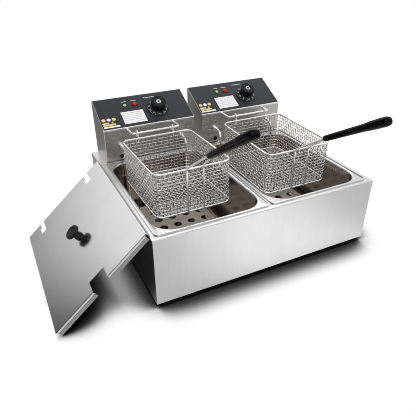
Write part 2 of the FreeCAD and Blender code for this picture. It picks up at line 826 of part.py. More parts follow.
def basket_pieces():
    return {
        "basket_mesh": basket_mesh(),
        "basket_frame": basket_frame(),
        "basket_handle": basket_handle(),
        "basket_grip": basket_grip(),
    }


def unit_pieces():
    """Tank and control head of one unit, drawn with the tank's middle at X = 0."""
    return {
        "tank": tank(),
        "heating_element": heating_element(),
        "element_guard": element_guard(),
        "head_shell": head_shell(),
        "head_cover": head_cover(),
        "head_base": head_base(),
        "control_panel": control_panel(),
        "power_lamp": lamp(power_lamp_radius, power_lamp_across),
        "heat_lamp": lamp(heat_lamp_radius, heat_lamp_across),
        "thermostat": thermostat(),
        "knob_shaft": knob_shaft(),
        "knob": knob(),
        "sensor": sensor(),
        "sensor_grommet": sensor_grommet(),
        "limit_switch": limit_switch(),
        "reset_button": reset_button(),
        "cable_gland": cable_gland(),
        "terminal_block": terminal_block(),
        "basket_hanger": basket_hanger(),
    }


# Lid, drawn flat with X up its slope, then leaned

def leaned(shape):
    shape = shape.rotated(at(0, 0, 0), at(0, 1, 0), -lid_lean)
    return shape.translated(at(lid_foot_x, lid_front, lid_foot_z))


def lid_sheet():
    """Sheet with lips on three sides, a notch for the handle and slots for the element's legs."""
    middle = lid_width / 2
    lid = box(0, lid_width, 0, lid_length, -lid_lip, 0)
    folds = [e for e in lid.Edges if e.BoundBox.ZMin > -tolerance and e.BoundBox.YMin < tolerance]
    lid = lid.makeFillet(sheet_bend, folds)
    lid = lid.cut(box(sheet, lid_width - sheet, sheet, lid_length, -lid_lip, -sheet))
    for x in (0, lid_width - lid_corner_cut):
        lid = lid.cut(box(x, x + lid_corner_cut, 0, lid_corner_cut, -lid_lip, -sheet))
    lid = lid.cut(box(middle - lid_notch_half, middle + lid_notch_half, 0, lid_notch_depth, -lid_lip, 0))
    throat = lid_length - lid_slot_throat
    for leg in (-element_span / 2, element_span / 2):
        low = middle + leg - lid_slot_half
        high = middle + leg + lid_slot_half
        lid = lid.cut(box(low, high, lid_length - lid_slot_depth, throat, -lid_lip, 0))
        lid = lid.cut(box(low + lid_slot_tooth, high, throat, lid_length, -lid_lip, 0))
    screw = at(middle, lid_length / 2, 0)
    lid = lid.cut(cylinder(lid_screw_radius, screw - at(0, 0, lid_lip), screw))
    return leaned(lid)


def lid_knob():
    rim_foot = lid_knob_height - lid_knob_rim
    outline = [(0, lid_screw_depth), (lid_screw_radius, lid_screw_depth), (lid_screw_radius, 0),
               (lid_knob_foot_radius, 0), (lid_knob_neck_radius, lid_knob_rim),
               (lid_knob_neck_radius, rim_foot / 2), (lid_knob_radius, rim_foot),
               (lid_knob_radius, lid_knob_height - lid_knob_edge),
               (lid_knob_radius - lid_knob_edge, lid_knob_height), (0, lid_knob_height)]
    return leaned(turned(outline).translated(at(lid_width / 2, lid_length / 2, 0)))


def lid_screw():
    head_z = -sheet - lid_screw_head_height
    outline = [(0, head_z), (lid_screw_head_radius, head_z), (lid_screw_head_radius, -sheet),
               (lid_screw_radius, -sheet), (lid_screw_radius, lid_screw_depth), (0, lid_screw_depth)]
    return leaned(turned(outline).translated(at(lid_width / 2, lid_length / 2, 0)))


# The whole fryer

def build():
    """Every node's shape, drawn about the casing."""
    nodes = casing_pieces()
    unit = unit_pieces()
    basket = basket_pieces()
    for side, centre in unit_centres.items():
        for name, shape in unit.items():
            nodes[f"{side}_{name}"] = shape.translated(at(centre, 0, 0))
        for name, shape in basket.items():
            nodes[f"{side}_{name}"] = hung(shape, side).translated(at(centre, 0, 0))
    nodes["lid_sheet"] = lid_sheet()
    nodes["lid_knob"] = lid_knob()
    nodes["lid_screw"] = lid_screw()
    return nodes


def origin_shift(nodes):
    """Move that puts the origin under the middle of the whole object, where it stands."""
    whole = Part.makeCompound(list(nodes.values())).optimalBoundingBox(False)
    return at(-(whole.XMin + whole.XMax) / 2, -(whole.YMin + whole.YMax) / 2, 0)


def main():
    os.makedirs("parts", exist_ok=True)
    nodes = build()
    shift = origin_shift(nodes)
    for name, shape in nodes.items():
        shape.translated(shift).exportStep(f"parts/{name}.step")
    print(len(nodes), "nodes, moved by", [round(v, 3) for v in shift])


if __name__ == "__main__":
    main()
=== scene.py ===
# %% [markdown]
# # A counter fryer with two tanks
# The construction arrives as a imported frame: every sheet, rod and screw at its real size, on named bodies.
# This lesson dresses that frame. Each step says what the piece is on the real fryer, how it could be made
# in Blender, and why one way was chosen.

# %% Load the frame
import json
import math

import bmesh
import bpy
from mathutils import Matrix, Vector


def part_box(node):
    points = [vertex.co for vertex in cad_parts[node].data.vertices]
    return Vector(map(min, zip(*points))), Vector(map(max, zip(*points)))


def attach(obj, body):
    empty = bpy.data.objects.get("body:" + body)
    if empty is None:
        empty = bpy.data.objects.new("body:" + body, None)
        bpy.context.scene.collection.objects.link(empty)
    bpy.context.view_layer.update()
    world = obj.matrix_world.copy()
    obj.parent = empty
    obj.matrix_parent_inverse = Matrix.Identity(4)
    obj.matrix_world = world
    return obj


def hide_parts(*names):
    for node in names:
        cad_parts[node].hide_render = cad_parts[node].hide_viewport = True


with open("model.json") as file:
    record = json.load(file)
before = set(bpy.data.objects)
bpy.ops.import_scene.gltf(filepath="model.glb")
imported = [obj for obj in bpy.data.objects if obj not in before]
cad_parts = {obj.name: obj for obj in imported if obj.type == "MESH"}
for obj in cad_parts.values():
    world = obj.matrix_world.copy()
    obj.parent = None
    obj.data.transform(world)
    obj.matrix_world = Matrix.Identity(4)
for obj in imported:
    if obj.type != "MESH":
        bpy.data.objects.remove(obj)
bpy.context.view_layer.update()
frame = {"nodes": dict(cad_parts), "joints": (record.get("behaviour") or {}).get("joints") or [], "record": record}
SCENE = bpy.context.scene
SIDES = ("left", "right")
MM = 0.001
WELD = 1e-6
BODY_OF = {node: body for body, group in frame["record"]["behaviour"]["bodies"].items() for node in group}
SLOT_OF = {row["node"]: row["material_slot"] for row in frame["record"]["subparts"]}
SCENE.view_settings.view_transform = "Standard"

# %% [markdown]
# ## The camera
# The camera stands in front of the fryer, to its left and well above it. Its place was worked out once from
# the straight edges of the casing, and is kept as distances from the middle of the casing's front foot,
# so it follows the frame if the frame's origin moves. The pixel filter is narrow: the baskets' cells are
# only three pixels wide in the picture, and a wide filter would smear them to an even grey.

# %% Camera
CAMERA_OFFSET = Vector((-0.48372, -0.64585, 0.64951))
CAMERA_PITCH = 31.147
CAMERA_YAW = 26.716
FOCAL_PIXELS = 440.23
PICTURE_PIXELS = 416
SENSOR_WIDTH = 36.0
FILTER_PIXELS = 0.85

front_low, front_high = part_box("front_panel")
casing_foot = Vector(((front_low.x + front_high.x) / 2, front_low.y, 0))
camera_data = bpy.data.cameras.new("photo_camera")
camera_data.sensor_width = SENSOR_WIDTH
camera_data.lens = FOCAL_PIXELS * SENSOR_WIDTH / PICTURE_PIXELS
camera = bpy.data.objects.new("photo_camera", camera_data)
camera.location = casing_foot + CAMERA_OFFSET
camera.rotation_euler = (math.radians(90 - CAMERA_PITCH), 0, math.radians(-CAMERA_YAW))
SCENE.collection.objects.link(camera)
SCENE.camera = camera
SCENE.cycles.filter_width = FILTER_PIXELS
print("camera at", [round(value, 4) for value in camera.location], "lens", round(camera_data.lens, 2))

# %% [markdown]
# ## Small helpers for nodes and pieces
# Materials and Geometry Nodes trees are both graphs, so short helpers add nodes to either, and fill their
# inputs with plain values or with what other nodes give out. A few more turn forms into plain meshes, and
# the last one finishes a piece: it links the object, gives it its finish and sets it on its body.

# %% Helpers
FINISH = {}


def fill(tree, node, inputs):
    """Join a node's inputs to sockets, or set them to plain values."""
    for name, value in inputs.items():
        if isinstance(value, bpy.types.NodeSocket):
            tree.links.new(value, node.inputs[name])
        else:
            node.inputs[name].default_value = value
    return node


def add(tree, kind, inputs=None, **settings):
    """New node with its settings made and its inputs filled."""
    node = tree.nodes.new(kind)
    for name, value in settings.items():
        setattr(node, name, value)
    return fill(tree, node, inputs or {})


def number(tree, operation, first, second=0.0, third=0.0):
    return add(tree, "ShaderNodeMath", {0: first, 1: second, 2: third}, operation=operation).outputs[0]


def vectors(tree, operation, first, second):
    """Result of an operation on two vectors, or on a vector and its scale."""
    other = "Scale" if operation == "SCALE" else 1
    return add(tree, "ShaderNodeVectorMath", {0: first, other: second}, operation=operation).outputs[0]


def vector_of(tree, **axes):
    """Vector from the named axes, with zero for the others."""
    return add(tree, "ShaderNodeCombineXYZ", axes).outputs[0]


def parts_of(tree, vector):
    return add(tree, "ShaderNodeSeparateXYZ", {0: vector}).outputs


def coordinates(tree, kind="Object"):
    return add(tree, "ShaderNodeTexCoord").outputs[kind]


def ramped(tree, value, start, end, low, high):
    """Value between low and high while the input goes from start to end, held outside."""
    limits = {"Value": value, "From Min": start, "From Max": end, "To Min": low, "To Max": high}
    return add(tree, "ShaderNodeMapRange", limits).outputs[0]


def fresh_material(name):
    material = bpy.data.materials.new(name)
    material.use_nodes = True
    return material, material.node_tree, material.node_tree.nodes["Principled BSDF"]


def mesh_of(form, name):
    """Plain mesh of a bmesh form, which is freed."""
    mesh = bpy.data.meshes.new(name)
    form.to_mesh(mesh)
    form.free()
    return mesh


def settled(piece):
    """Plain mesh of an object as its nodes or its letters make it."""
    bpy.context.view_layer.update()
    graph = bpy.context.evaluated_depsgraph_get()
    return bpy.data.meshes.new_from_object(piece.evaluated_get(graph), depsgraph=graph)


def finish_piece(piece, body, slot, replaces=()):
    """Link a piece, dress it with the finish of its slot, set it on its body and hide the nodes it replaces."""
    if piece.name not in SCENE.collection.objects:
        SCENE.collection.objects.link(piece)
    piece.data.materials.clear()
    piece.data.materials.append(FINISH[slot])
    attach(piece, body)
    if replaces:
        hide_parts(*replaces)
    return piece


# %% [markdown]
# ## The studio
# The fryer stands on a white cove. The floor is white to the camera and darkens only where the object closes
# off the light above it, which an Ambient Occlusion node measures. That keeps the soft dark shadow at the
# casing's foot. A second, longer measure shades the floor under the leaning lid and fades out towards the
# casing's left side. Light from the left leaves no shadow outside the lid's lower edge. For diffuse light
# the floor is a plain pale sheet.
# Polished sheet shows whatever stands around it, so the room matters as much as the metal. Reflections see
# a bright cove above a dim horizon, a grey ceiling, a darker side on the left, and a floor with a pool of
# light in front of the casing, which dims to the sides, behind the fryer and under the leaning lid.
# Each list of stops pairs how open a spot is with its level. Each ramp has its start, its end, and its level
# at the start and at the end. The two short pairs are distances from the lid's lower edge and from the
# casing's left side, between which a shade fades.

# %% Floor and cove
FLOOR_SIZE = 8.0
FLOOR_DROP = 0.0004
FLOOR_COLOUR = 0.82
FLOOR_ROUGHNESS = 0.9
SHADOW_SAMPLES = 24
CONTACT_REACH = 0.10
CONTACT_STOPS = ((0.44, 0.004), (0.60, 0.05), (0.68, 0.20), (0.79, 0.70), (0.88, 1.0))
LID_LIGHT = (-0.002, 0.014)
TENT_REACH = 0.25
TENT_STOPS = ((0.14, 0.05), (0.32, 0.30), (0.48, 0.80), (0.62, 1.0))
TENT_EDGE = (-0.09, 0.02)
MIRROR_REACH = 0.25
MIRROR_STOPS = ((0.26, 0.012), (0.44, 0.50), (0.56, 0.86), (0.70, 1.0))
BEHIND = (0.20, 0.75, 1.0, 0.30)
POOL_SHIFT = 0.09
POOL = (0.04, 0.34, 1.24, 0.74)
STUDIO_LEVEL = 0.70
HORIZON = (0.02, 0.27, 0.18, 1.05)
CEILING = (0.62, 0.95, 1.0, 0.55)
LEFT_SIDE = (-0.70, -0.57, 0.10, 1.0)


def mirror_rays(tree):
    """One where a mirror or a clear piece looks at the surface, and one where the camera does."""
    path = add(tree, "ShaderNodeLightPath").outputs
    return number(tree, "MAXIMUM", path["Is Glossy Ray"], path["Is Transmission Ray"]), path["Is Camera Ray"]


def shadow_level(tree, reach, levels):
    """White in the open, dark where the object closes off the sky within reach."""
    closed = add(tree, "ShaderNodeAmbientOcclusion", {"Distance": reach}, samples=SHADOW_SAMPLES)
    ramp = add(tree, "ShaderNodeValToRGB", {0: closed.outputs["AO"]})
    stops = ramp.color_ramp.elements
    while len(stops) < len(levels):
        stops.new(0.5)
    for stop, (place, level) in zip(stops, levels):
        stop.position = place
        stop.color = (level, level, level, 1)
    return ramp.outputs[0]


def mirrored_floor(tree):
    """Floor as polished sheet shows it: a pool of light in front, dim to the sides and behind."""
    place = parts_of(tree, coordinates(tree))
    aside = number(tree, "ABSOLUTE", number(tree, "SUBTRACT", place["X"], casing_foot.x + POOL_SHIFT))
    pool = ramped(tree, aside, *POOL)
    pool.node.interpolation_type = "SMOOTHSTEP"
    lit = number(tree, "MULTIPLY", pool, ramped(tree, place["Y"], *BEHIND))
    return number(tree, "MULTIPLY", lit, shadow_level(tree, MIRROR_REACH, MIRROR_STOPS))


def floor_material():
    """White with shadows to the camera, a pool of light to mirrors, a pale sheet to other light."""
    material, tree, shader = fresh_material("studio_floor")
    pale = (FLOOR_COLOUR, FLOOR_COLOUR, FLOOR_COLOUR, 1)
    fill(tree, shader, {"Base Color": pale, "Roughness": FLOOR_ROUGHNESS})
    mirrored, straight = mirror_rays(tree)
    across = parts_of(tree, coordinates(tree))["X"]
    lid_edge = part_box("lid_sheet")[0].x
    open_side = ramped(tree, across, lid_edge + LID_LIGHT[0], lid_edge + LID_LIGHT[1], 1.0, 0.0)
    casing_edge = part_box("left_side_panel")[0].x
    beyond = ramped(tree, across, casing_edge + TENT_EDGE[0], casing_edge + TENT_EDGE[1], 0.0, 1.0)
    tent = number(tree, "MAXIMUM", beyond, shadow_level(tree, TENT_REACH, TENT_STOPS))
    near = number(tree, "MULTIPLY", tent, shadow_level(tree, CONTACT_REACH, CONTACT_STOPS))
    seen = number(tree, "MULTIPLY", straight, number(tree, "MAXIMUM", open_side, near))
    reflected = number(tree, "MULTIPLY", mirrored, mirrored_floor(tree))
    glow = add(tree, "ShaderNodeEmission", {"Strength": number(tree, "ADD", seen, reflected)})
    either = number(tree, "MAXIMUM", mirrored, straight)
    mix = add(tree, "ShaderNodeMixShader", {0: either, 1: shader.outputs[0], 2: glow.outputs[0]})
    fill(tree, tree.nodes["Material Output"], {"Surface": mix.outputs[0]})
    return material


def studio_world():
    """White to the camera, a cove to mirrors, an even light to everything else."""
    world = bpy.data.worlds.new("studio")
    world.use_nodes = True
    tree = world.node_tree
    mirrored, straight = mirror_rays(tree)
    towards = parts_of(tree, coordinates(tree, "Generated"))
    horizon = ramped(tree, towards["Z"], *HORIZON)
    walls = number(tree, "MULTIPLY", horizon, ramped(tree, towards["Z"], *CEILING))
    cove = number(tree, "MULTIPLY", walls, ramped(tree, towards["X"], *LEFT_SIDE))
    lit = number(tree, "MULTIPLY", number(tree, "SUBTRACT", 1.0, mirrored), STUDIO_LEVEL)
    seen = number(tree, "ADD", number(tree, "MULTIPLY", mirrored, cove), lit)
    level = number(tree, "MAXIMUM", straight, seen)
    fill(tree, tree.nodes["Background"], {"Color": (1, 1, 1, 1), "Strength": level})
    return world


floor_mesh = bpy.data.meshes.new("studio_floor")
half = FLOOR_SIZE / 2
corners = [(-half, -half), (half, -half), (half, half), (-half, half)]
floor_mesh.from_pydata([(x, y, -FLOOR_DROP) for x, y in corners], [], [(0, 1, 2, 3)])
floor_mesh.materials.append(floor_material())
floor = bpy.data.objects.new("studio_floor", floor_mesh)
SCENE.collection.objects.link(floor)
SCENE.world = studio_world()
print("floor of", FLOOR_SIZE, "m, cove level", STUDIO_LEVEL)

# %% [markdown]
# ## Soft boxes
# Two large soft boxes give the plastic its highlights and the tanks some light from above: one over the
# camera's shoulder, one behind the fryer, where the flat rims of the tanks look in their reflection.

# %% Lights
SOFT_BOXES = {
    "key_box": {"place": (-0.5, -0.9, 1.7), "target": (0.05, 0, 0.15),
                "width": 1.3, "height": 0.9, "watts": 9},
    "back_box": {"place": (0.75, 1.2, 1.35), "target": (0.05, 0, 0.2),
                 "width": 1.2, "height": 0.6, "watts": 3},
}


def soft_box(name, place, target, width, height, watts):
    data = bpy.data.lights.new(name, "AREA")
    data.shape = "RECTANGLE"
    data.size = width
    data.size_y = height
    data.energy = watts
    lamp = bpy.data.objects.new(name, data)
    lamp.location = place
    lamp.rotation_euler = (Vector(target) - Vector(place)).to_track_quat("-Z", "Y").to_euler()
    SCENE.collection.objects.link(lamp)


for name, settings in SOFT_BOXES.items():
    soft_box(name, **settings)

# %% [markdown]
# ## Brushed steel
# Nearly all of the fryer is thin stainless sheet. Brushing leaves fine grooves in one direction, so the
# metal is streaky across the grain and even along it. A noise that is stretched along the grain gives the
# colour, the roughness and the bump their streaks, and a broad second noise gives the faint clouds that
# handling leaves. Image textures could do it, but the noise has no seams and needs no unwrapping.
# The tanks are polished on the rim and darker brown-grey in the bowl, so their colour and roughness change with
# height, over the bend at the mouth. The bowl's colour is a brownish tint with painted shade. The hoods' colour is
# lightened along the fold below the panel: a painted highlight.

# %% Steel finishes
STREAK_WIDTH = 0.9 * MM
STREAK_LENGTH = 160 * MM
STREAK_DETAIL = 4.0
CLOUD_SIZE = 70 * MM
TANK_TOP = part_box("left_tank")[1].z
BOWL_TOP = TANK_TOP - 9 * MM
RIM_FOOT = TANK_TOP - 3 * MM
BOWL_ROUGHNESS = 1.1
FOLD_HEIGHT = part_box("left_control_panel")[0].z
FOLD_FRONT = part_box("left_head_shell")[0].y
FOLD_REACH = 3 * MM


def grain_scale(along):
    """Noise scale for grooves that run along one axis."""
    return [1 / STREAK_LENGTH if axis == along else 1 / STREAK_WIDTH for axis in "XYZ"]


def noise(tree, **inputs):
    return add(tree, "ShaderNodeTexNoise", inputs).outputs[0]


def bumps(tree, strength, distance, height):
    """Normal of a surface that rises and falls with a noise."""
    inputs = {"Strength": strength, "Distance": distance, "Height": height}
    return add(tree, "ShaderNodeBump", inputs).outputs[0]


def swing(tree, value, reach):
    """Noise of 0 to 1 as a value that swings as far as reach to both sides of zero."""
    return number(tree, "MULTIPLY", number(tree, "SUBTRACT", value, 0.5), 2 * reach)


def blended(tree, share, first, second):
    """Colour on the way from a first one to a second."""
    inputs = {"Factor": share, "A": first, "B": second}
    return add(tree, "ShaderNodeMix", inputs, data_type="VECTOR").outputs["Result"]


def brushed_steel(name, colour, roughness, along, streaks=0.10, clouds=0.06, bump=0.04, bowl_tint_and_shade=None,
                  fold_highlight=None, metallic=1.0):
    """Grooves along one axis, plus a tint with painted shade in a tank or a painted highlight on a hood."""
    material, tree, shader = fresh_material(name)
    place = coordinates(tree)
    parts = parts_of(tree, place)
    stretch = add(tree, "ShaderNodeMapping", {0: place, "Scale": grain_scale(along)})
    grain = noise(tree, Vector=stretch.outputs[0], Scale=1.0, Detail=STREAK_DETAIL)
    cloud = noise(tree, Vector=place, Scale=1 / CLOUD_SIZE)
    uneven = number(tree, "ADD", swing(tree, grain, streaks), swing(tree, cloud, clouds))
    level = number(tree, "ADD", uneven, 1.0)
    rough = number(tree, "MULTIPLY", number(tree, "SUBTRACT", 2.0, level), roughness)
    base = colour
    # Painted shade: below the rim the colour turns to the darker, brownish bowl colour.
    if bowl_tint_and_shade:
        height = ramped(tree, parts["Z"], BOWL_TOP, RIM_FOOT, 0.0, 1.0)
        base = blended(tree, height, bowl_tint_and_shade, colour)
        rough = number(tree, "MULTIPLY", rough, ramped(tree, height, 0.0, 1.0, BOWL_ROUGHNESS, 1.0))
    # Painted highlight: the colour is lightened along the fold below the panel.
    if fold_highlight:
        above = number(tree, "ABSOLUTE", number(tree, "SUBTRACT", parts["Z"], FOLD_HEIGHT))
        behind = number(tree, "SUBTRACT", parts["Y"], FOLD_FRONT)
        away = number(tree, "MAXIMUM", above, behind)
        base = blended(tree, ramped(tree, away, FOLD_REACH, 2 * FOLD_REACH, 1.0, 0.0), colour, fold_highlight)
    fill(tree, shader, {"Base Color": vectors(tree, "SCALE", base, level), "Roughness": rough,
                        "Normal": bumps(tree, bump, STREAK_WIDTH, grain), "Metallic": metallic})
    FINISH[name] = material


brushed_steel("casing_steel", (0.685, 0.68, 0.68), 0.30, "Z")
brushed_steel("lid_steel", (0.74, 0.74, 0.745), 0.17, "X", streaks=0.05)
# A darker copy of the lid's steel: painted shade for the lid's hem, which faces the shaded floor.
brushed_steel("hem_steel_painted_shade", (0.36, 0.36, 0.365), 0.26, "X", streaks=0.05)
# The last colour is a painted highlight along the fold below the panel.
brushed_steel("head_steel", (0.56, 0.545, 0.52), 0.28, "X", fold_highlight=(0.95, 0.95, 0.94))
# The bowl colour is a brownish tint with painted shade of the tank's inside.
brushed_steel("tank_steel", (0.62, 0.62, 0.62), 0.18, "Y", streaks=0.03, clouds=0.12, bump=0.01,
              bowl_tint_and_shade=(0.42, 0.385, 0.345))
brushed_steel("guard_steel", (0.80, 0.74, 0.67), 0.50, "Y", clouds=0.10, metallic=0.6)
brushed_steel("element_steel", (0.92, 0.91, 0.90), 0.16, "Z")
brushed_steel("screw_steel", (0.58, 0.58, 0.57), 0.30, "X")
print("steel finishes:", sorted(FINISH))

# %% [markdown]
# ## Wire, plastic, rubber, ink and lenses
# The wires are plated and drawn, so they are smoother than the sheet. Moulded plastic has a fine even grain
# from its tool, which a small noise gives to the bump and the roughness. Rubber is the same with a coarser
# grain and almost no gloss. Ink on the panel is a thin matte film. The lamp lenses are clear coloured
# plastic with a smooth coat.

# %% Other finishes
GRAIN_DETAIL = 3.0
LENS_ROUGHNESS = 0.10
LENS_GRAIN = 3 * MM
LENS_GLOSS = {"Specular IOR Level": 0.25, "Coat Weight": 0.15, "Coat Roughness": 0.03}


def finish(name, colour, roughness, grain, bump, metallic=0.0, uneven=0.12, specular=0.5):
    """A finish with a fine even grain: plated wire, moulded plastic, ink, rubber or a lens."""
    material, tree, shader = fresh_material(name)
    speckle = noise(tree, Vector=coordinates(tree), Scale=1 / grain, Detail=GRAIN_DETAIL)
    level = number(tree, "ADD", number(tree, "MULTIPLY", speckle, 2 * uneven), 1.0 - uneven)
    fill(tree, shader, {"Base Color": vectors(tree, "SCALE", colour, level),
                        "Roughness": number(tree, "MULTIPLY", level, roughness),
                        "Normal": bumps(tree, bump, grain / 4, speckle),
                        "Metallic": metallic, "Specular IOR Level": specular})
    FINISH[name] = material
    return tree, shader


def lens(name, colour, glow):
    """Coloured plastic with a smooth coat, which glows a little."""
    tree, shader = finish(name, colour, LENS_ROUGHNESS, LENS_GRAIN, 0.0, uneven=0.05)
    fill(tree, shader, {**LENS_GLOSS, "Emission Color": (*colour, 1), "Emission Strength": glow})


finish("bright_wire", (0.97, 0.965, 0.955), 0.20, 4 * MM, 0.02, metallic=0.75)
finish("mesh_wire", (0.76, 0.75, 0.73), 0.14, 2 * MM, 0.05, metallic=1.0)
finish("panel_black", (0.025, 0.028, 0.035), 0.45, 0.6 * MM, 0.05, specular=0.34)
finish("black_plastic", (0.006, 0.0063, 0.0075), 0.34, 0.5 * MM, 0.05, specular=0.20)
finish("grip_plastic", (0.002, 0.002, 0.0023), 0.20, 0.9 * MM, 0.0, specular=0.08)
finish("switch_plastic", (0.72, 0.70, 0.64), 0.45, 0.6 * MM, 0.08)
finish("black_rubber", (0.012, 0.012, 0.012), 0.75, 0.8 * MM, 0.20, specular=0.3)
finish("button_red", (0.55, 0.03, 0.025), 0.30, 0.6 * MM, 0.05)
finish("white_ink", (0.94, 0.94, 0.94), 0.55, 0.5 * MM, 0.03, uneven=0.03)
finish("grey_ink", (0.62, 0.63, 0.65), 0.55, 0.5 * MM, 0.03, uneven=0.08)
finish("yellow_ink", (0.88, 0.67, 0.24), 0.55, 0.5 * MM, 0.03, uneven=0.05)
lens("lamp_green", (0.33, 0.72, 0.16), 0.10)
lens("lamp_red", (0.58, 0.0, 0.0), 0.06)
print("finishes:", len(FINISH))

# %% [markdown]
# ## Dress the frame
# Every node of the frame names a material slot in its record, so one loop gives each node its finish.
# The shapes stay as they are.

# %% Finishes on the frame
for node, slot in SLOT_OF.items():
    mesh = frame["nodes"][node].data
    mesh.materials.clear()
    mesh.materials.append(FINISH[slot])
print("dressed", len(SLOT_OF), "nodes")

# %% [markdown]
# ## Folded sheet with soft edges
# Sheet metal is never sharp: each cut edge is broken and each fold has a small radius, and both catch a
# bright line of light. In the frame only the hoods and the lid have round folds. The other edges are sharp,
# and the meshes are loose triangles. So a copy of each sheet is welded, its flat faces are joined into one
# again, and its sharp edges are bevelled. A Bevel node in the material would only bend the light, and the
# exported mesh would stay sharp.

# %% Soft edges on sheet pieces
FLAT_ANGLE = math.radians(1.0)
SHARP_ANGLE = math.radians(40.0)
BEVEL_STEPS = 2
BEVEL_PROFILE = 0.5


def soft_edged(node, width):
    """Copy of a sheet node with its sharp edges bevelled, in the node's place."""
    form = bmesh.new()
    form.from_mesh(frame["nodes"][node].data)
    bmesh.ops.remove_doubles(form, verts=form.verts, dist=WELD)
    bmesh.ops.dissolve_limit(form, angle_limit=FLAT_ANGLE, verts=form.verts, edges=form.edges)
    folds = [edge for edge in form.edges if len(edge.link_faces) == 2]
    sharp = [edge for edge in folds if edge.calc_face_angle() > SHARP_ANGLE]
    bmesh.ops.bevel(form, geom=sharp, offset=width, segments=BEVEL_STEPS, profile=BEVEL_PROFILE,
                    affect="EDGES", clamp_overlap=True)
    piece = bpy.data.objects.new(f"{node}_sheet", mesh_of(form, f"{node}_sheet"))
    piece.data.shade_flat()
    return finish_piece(piece, BODY_OF[node], SLOT_OF[node], [node])


SHEETS = {"front_panel": 0.5, "left_side_panel": 0.4, "right_side_panel": 0.4, "rear_panel": 0.3,
          "rear_deck": 0.4, "lid_sheet": 0.5}
for side in SIDES:
    SHEETS.update({f"{side}_head_shell": 0.5, f"{side}_head_cover": 0.3, f"{side}_head_base": 0.4})
    SHEETS[f"{side}_control_panel"] = 0.25
for node, width in SHEETS.items():
    made = soft_edged(node, width * MM)
    print(made.name, len(made.data.polygons), "faces")

# %% [markdown]
# ## Woven baskets
# Each basket is woven from crimped wire: every wire passes over one crossing and under the next. The wires
# follow a rule, so a Geometry Nodes tree makes them. It draws a flat grid, keeps the lines of one direction,
# lifts them in a wave, and wraps the flat lines around the basket's rounded outline. The floor is the same
# grid laid flat and trimmed to the rounded corners. A texture with holes would look flat from nearby.

# %% Weave tree
FILLET_POINTS = 8
WIRE_SIDES = 6
POINTS_PER_CROSSING = 2


def new_tree(name, sizes, counts=()):
    """Geometry Nodes tree with counts, sizes and a finish as its inputs, and those inputs' sockets."""
    tree = bpy.data.node_groups.new(name, "GeometryNodeTree")
    kinds = {label: "NodeSocketInt" for label in counts}
    kinds.update({label: "NodeSocketFloat" for label in sizes})
    kinds["Finish"] = "NodeSocketMaterial"
    for label, kind in kinds.items():
        tree.interface.new_socket(label, in_out="INPUT", socket_type=kind)
    tree.interface.new_socket("Geometry", in_out="OUTPUT", socket_type="NodeSocketGeometry")
    return tree, add(tree, "NodeGroupInput").outputs


def close_tree(tree, geometry, material, smooth=True):
    """Last nodes of every tree: shaded, realized, with its finish."""
    shaded = add(tree, "GeometryNodeSetShadeSmooth", {"Geometry": geometry, "Shade Smooth": smooth})
    real = add(tree, "GeometryNodeRealizeInstances", {0: shaded.outputs[0]})
    dressed = add(tree, "GeometryNodeSetMaterial", {"Geometry": real.outputs[0], "Material": material})
    add(tree, "NodeGroupOutput", {0: dressed.outputs[0]})


def grown(name, tree, values):
    """Run a tree on an empty object and keep the result as a plain mesh."""
    piece = bpy.data.objects.new(name, bpy.data.meshes.new(name))
    SCENE.collection.objects.link(piece)
    modifier = piece.modifiers.new("grow", "NODES")
    modifier.node_group = tree
    for item in tree.interface.items_tree:
        if item.in_out == "INPUT" and item.name in values:
            modifier[item.identifier] = values[item.name]
    mesh = settled(piece)
    piece.modifiers.clear()
    piece.data = mesh
    return piece


def grid_lines(tree, size_x, size_y, points_x, points_y, keep):
    """Lines of a flat grid along one axis, as curves, with the axis named X or Y."""
    spread = {"Size X": size_x, "Size Y": size_y, "Vertices X": points_x, "Vertices Y": points_y}
    grid = add(tree, "GeometryNodeMeshGrid", spread)
    ends = add(tree, "GeometryNodeInputMeshEdgeVertices").outputs
    along = parts_of(tree, vectors(tree, "SUBTRACT", ends["Position 1"], ends["Position 2"]))
    crossing = number(tree, "ABSOLUTE", along["Y" if keep == "X" else "X"])
    unwanted = {"Geometry": grid.outputs["Mesh"], "Selection": number(tree, "GREATER_THAN", crossing, WELD)}
    drop = add(tree, "GeometryNodeDeleteGeometry", unwanted, domain="EDGE", mode="EDGE_FACE")
    return add(tree, "GeometryNodeMeshToCurve", {"Mesh": drop.outputs[0]}).outputs[0]


def place_of(tree):
    parts = parts_of(tree, add(tree, "GeometryNodeInputPosition").outputs[0])
    return parts["X"], parts["Y"]


def wave(tree, across, step_across, up, step_up, lift):
    """Over and under at every crossing of two sets of wires."""
    columns = number(tree, "DIVIDE", across, step_across)
    turns = number(tree, "ADD", columns, number(tree, "DIVIDE", up, step_up))
    return number(tree, "MULTIPLY", number(tree, "COSINE", number(tree, "MULTIPLY", turns, math.pi)), lift)


def moved(tree, lines, place):
    return add(tree, "GeometryNodeSetPosition", {"Geometry": lines, "Position": place}).outputs[0]


def counted(tree, length, pitch, multiple=1):
    """Whole number of steps of about one pitch, a multiple of 1 or 2."""
    steps = number(tree, "ROUND", number(tree, "DIVIDE", length, number(tree, "MULTIPLY", pitch, multiple)))
    return number(tree, "MULTIPLY", steps, multiple)


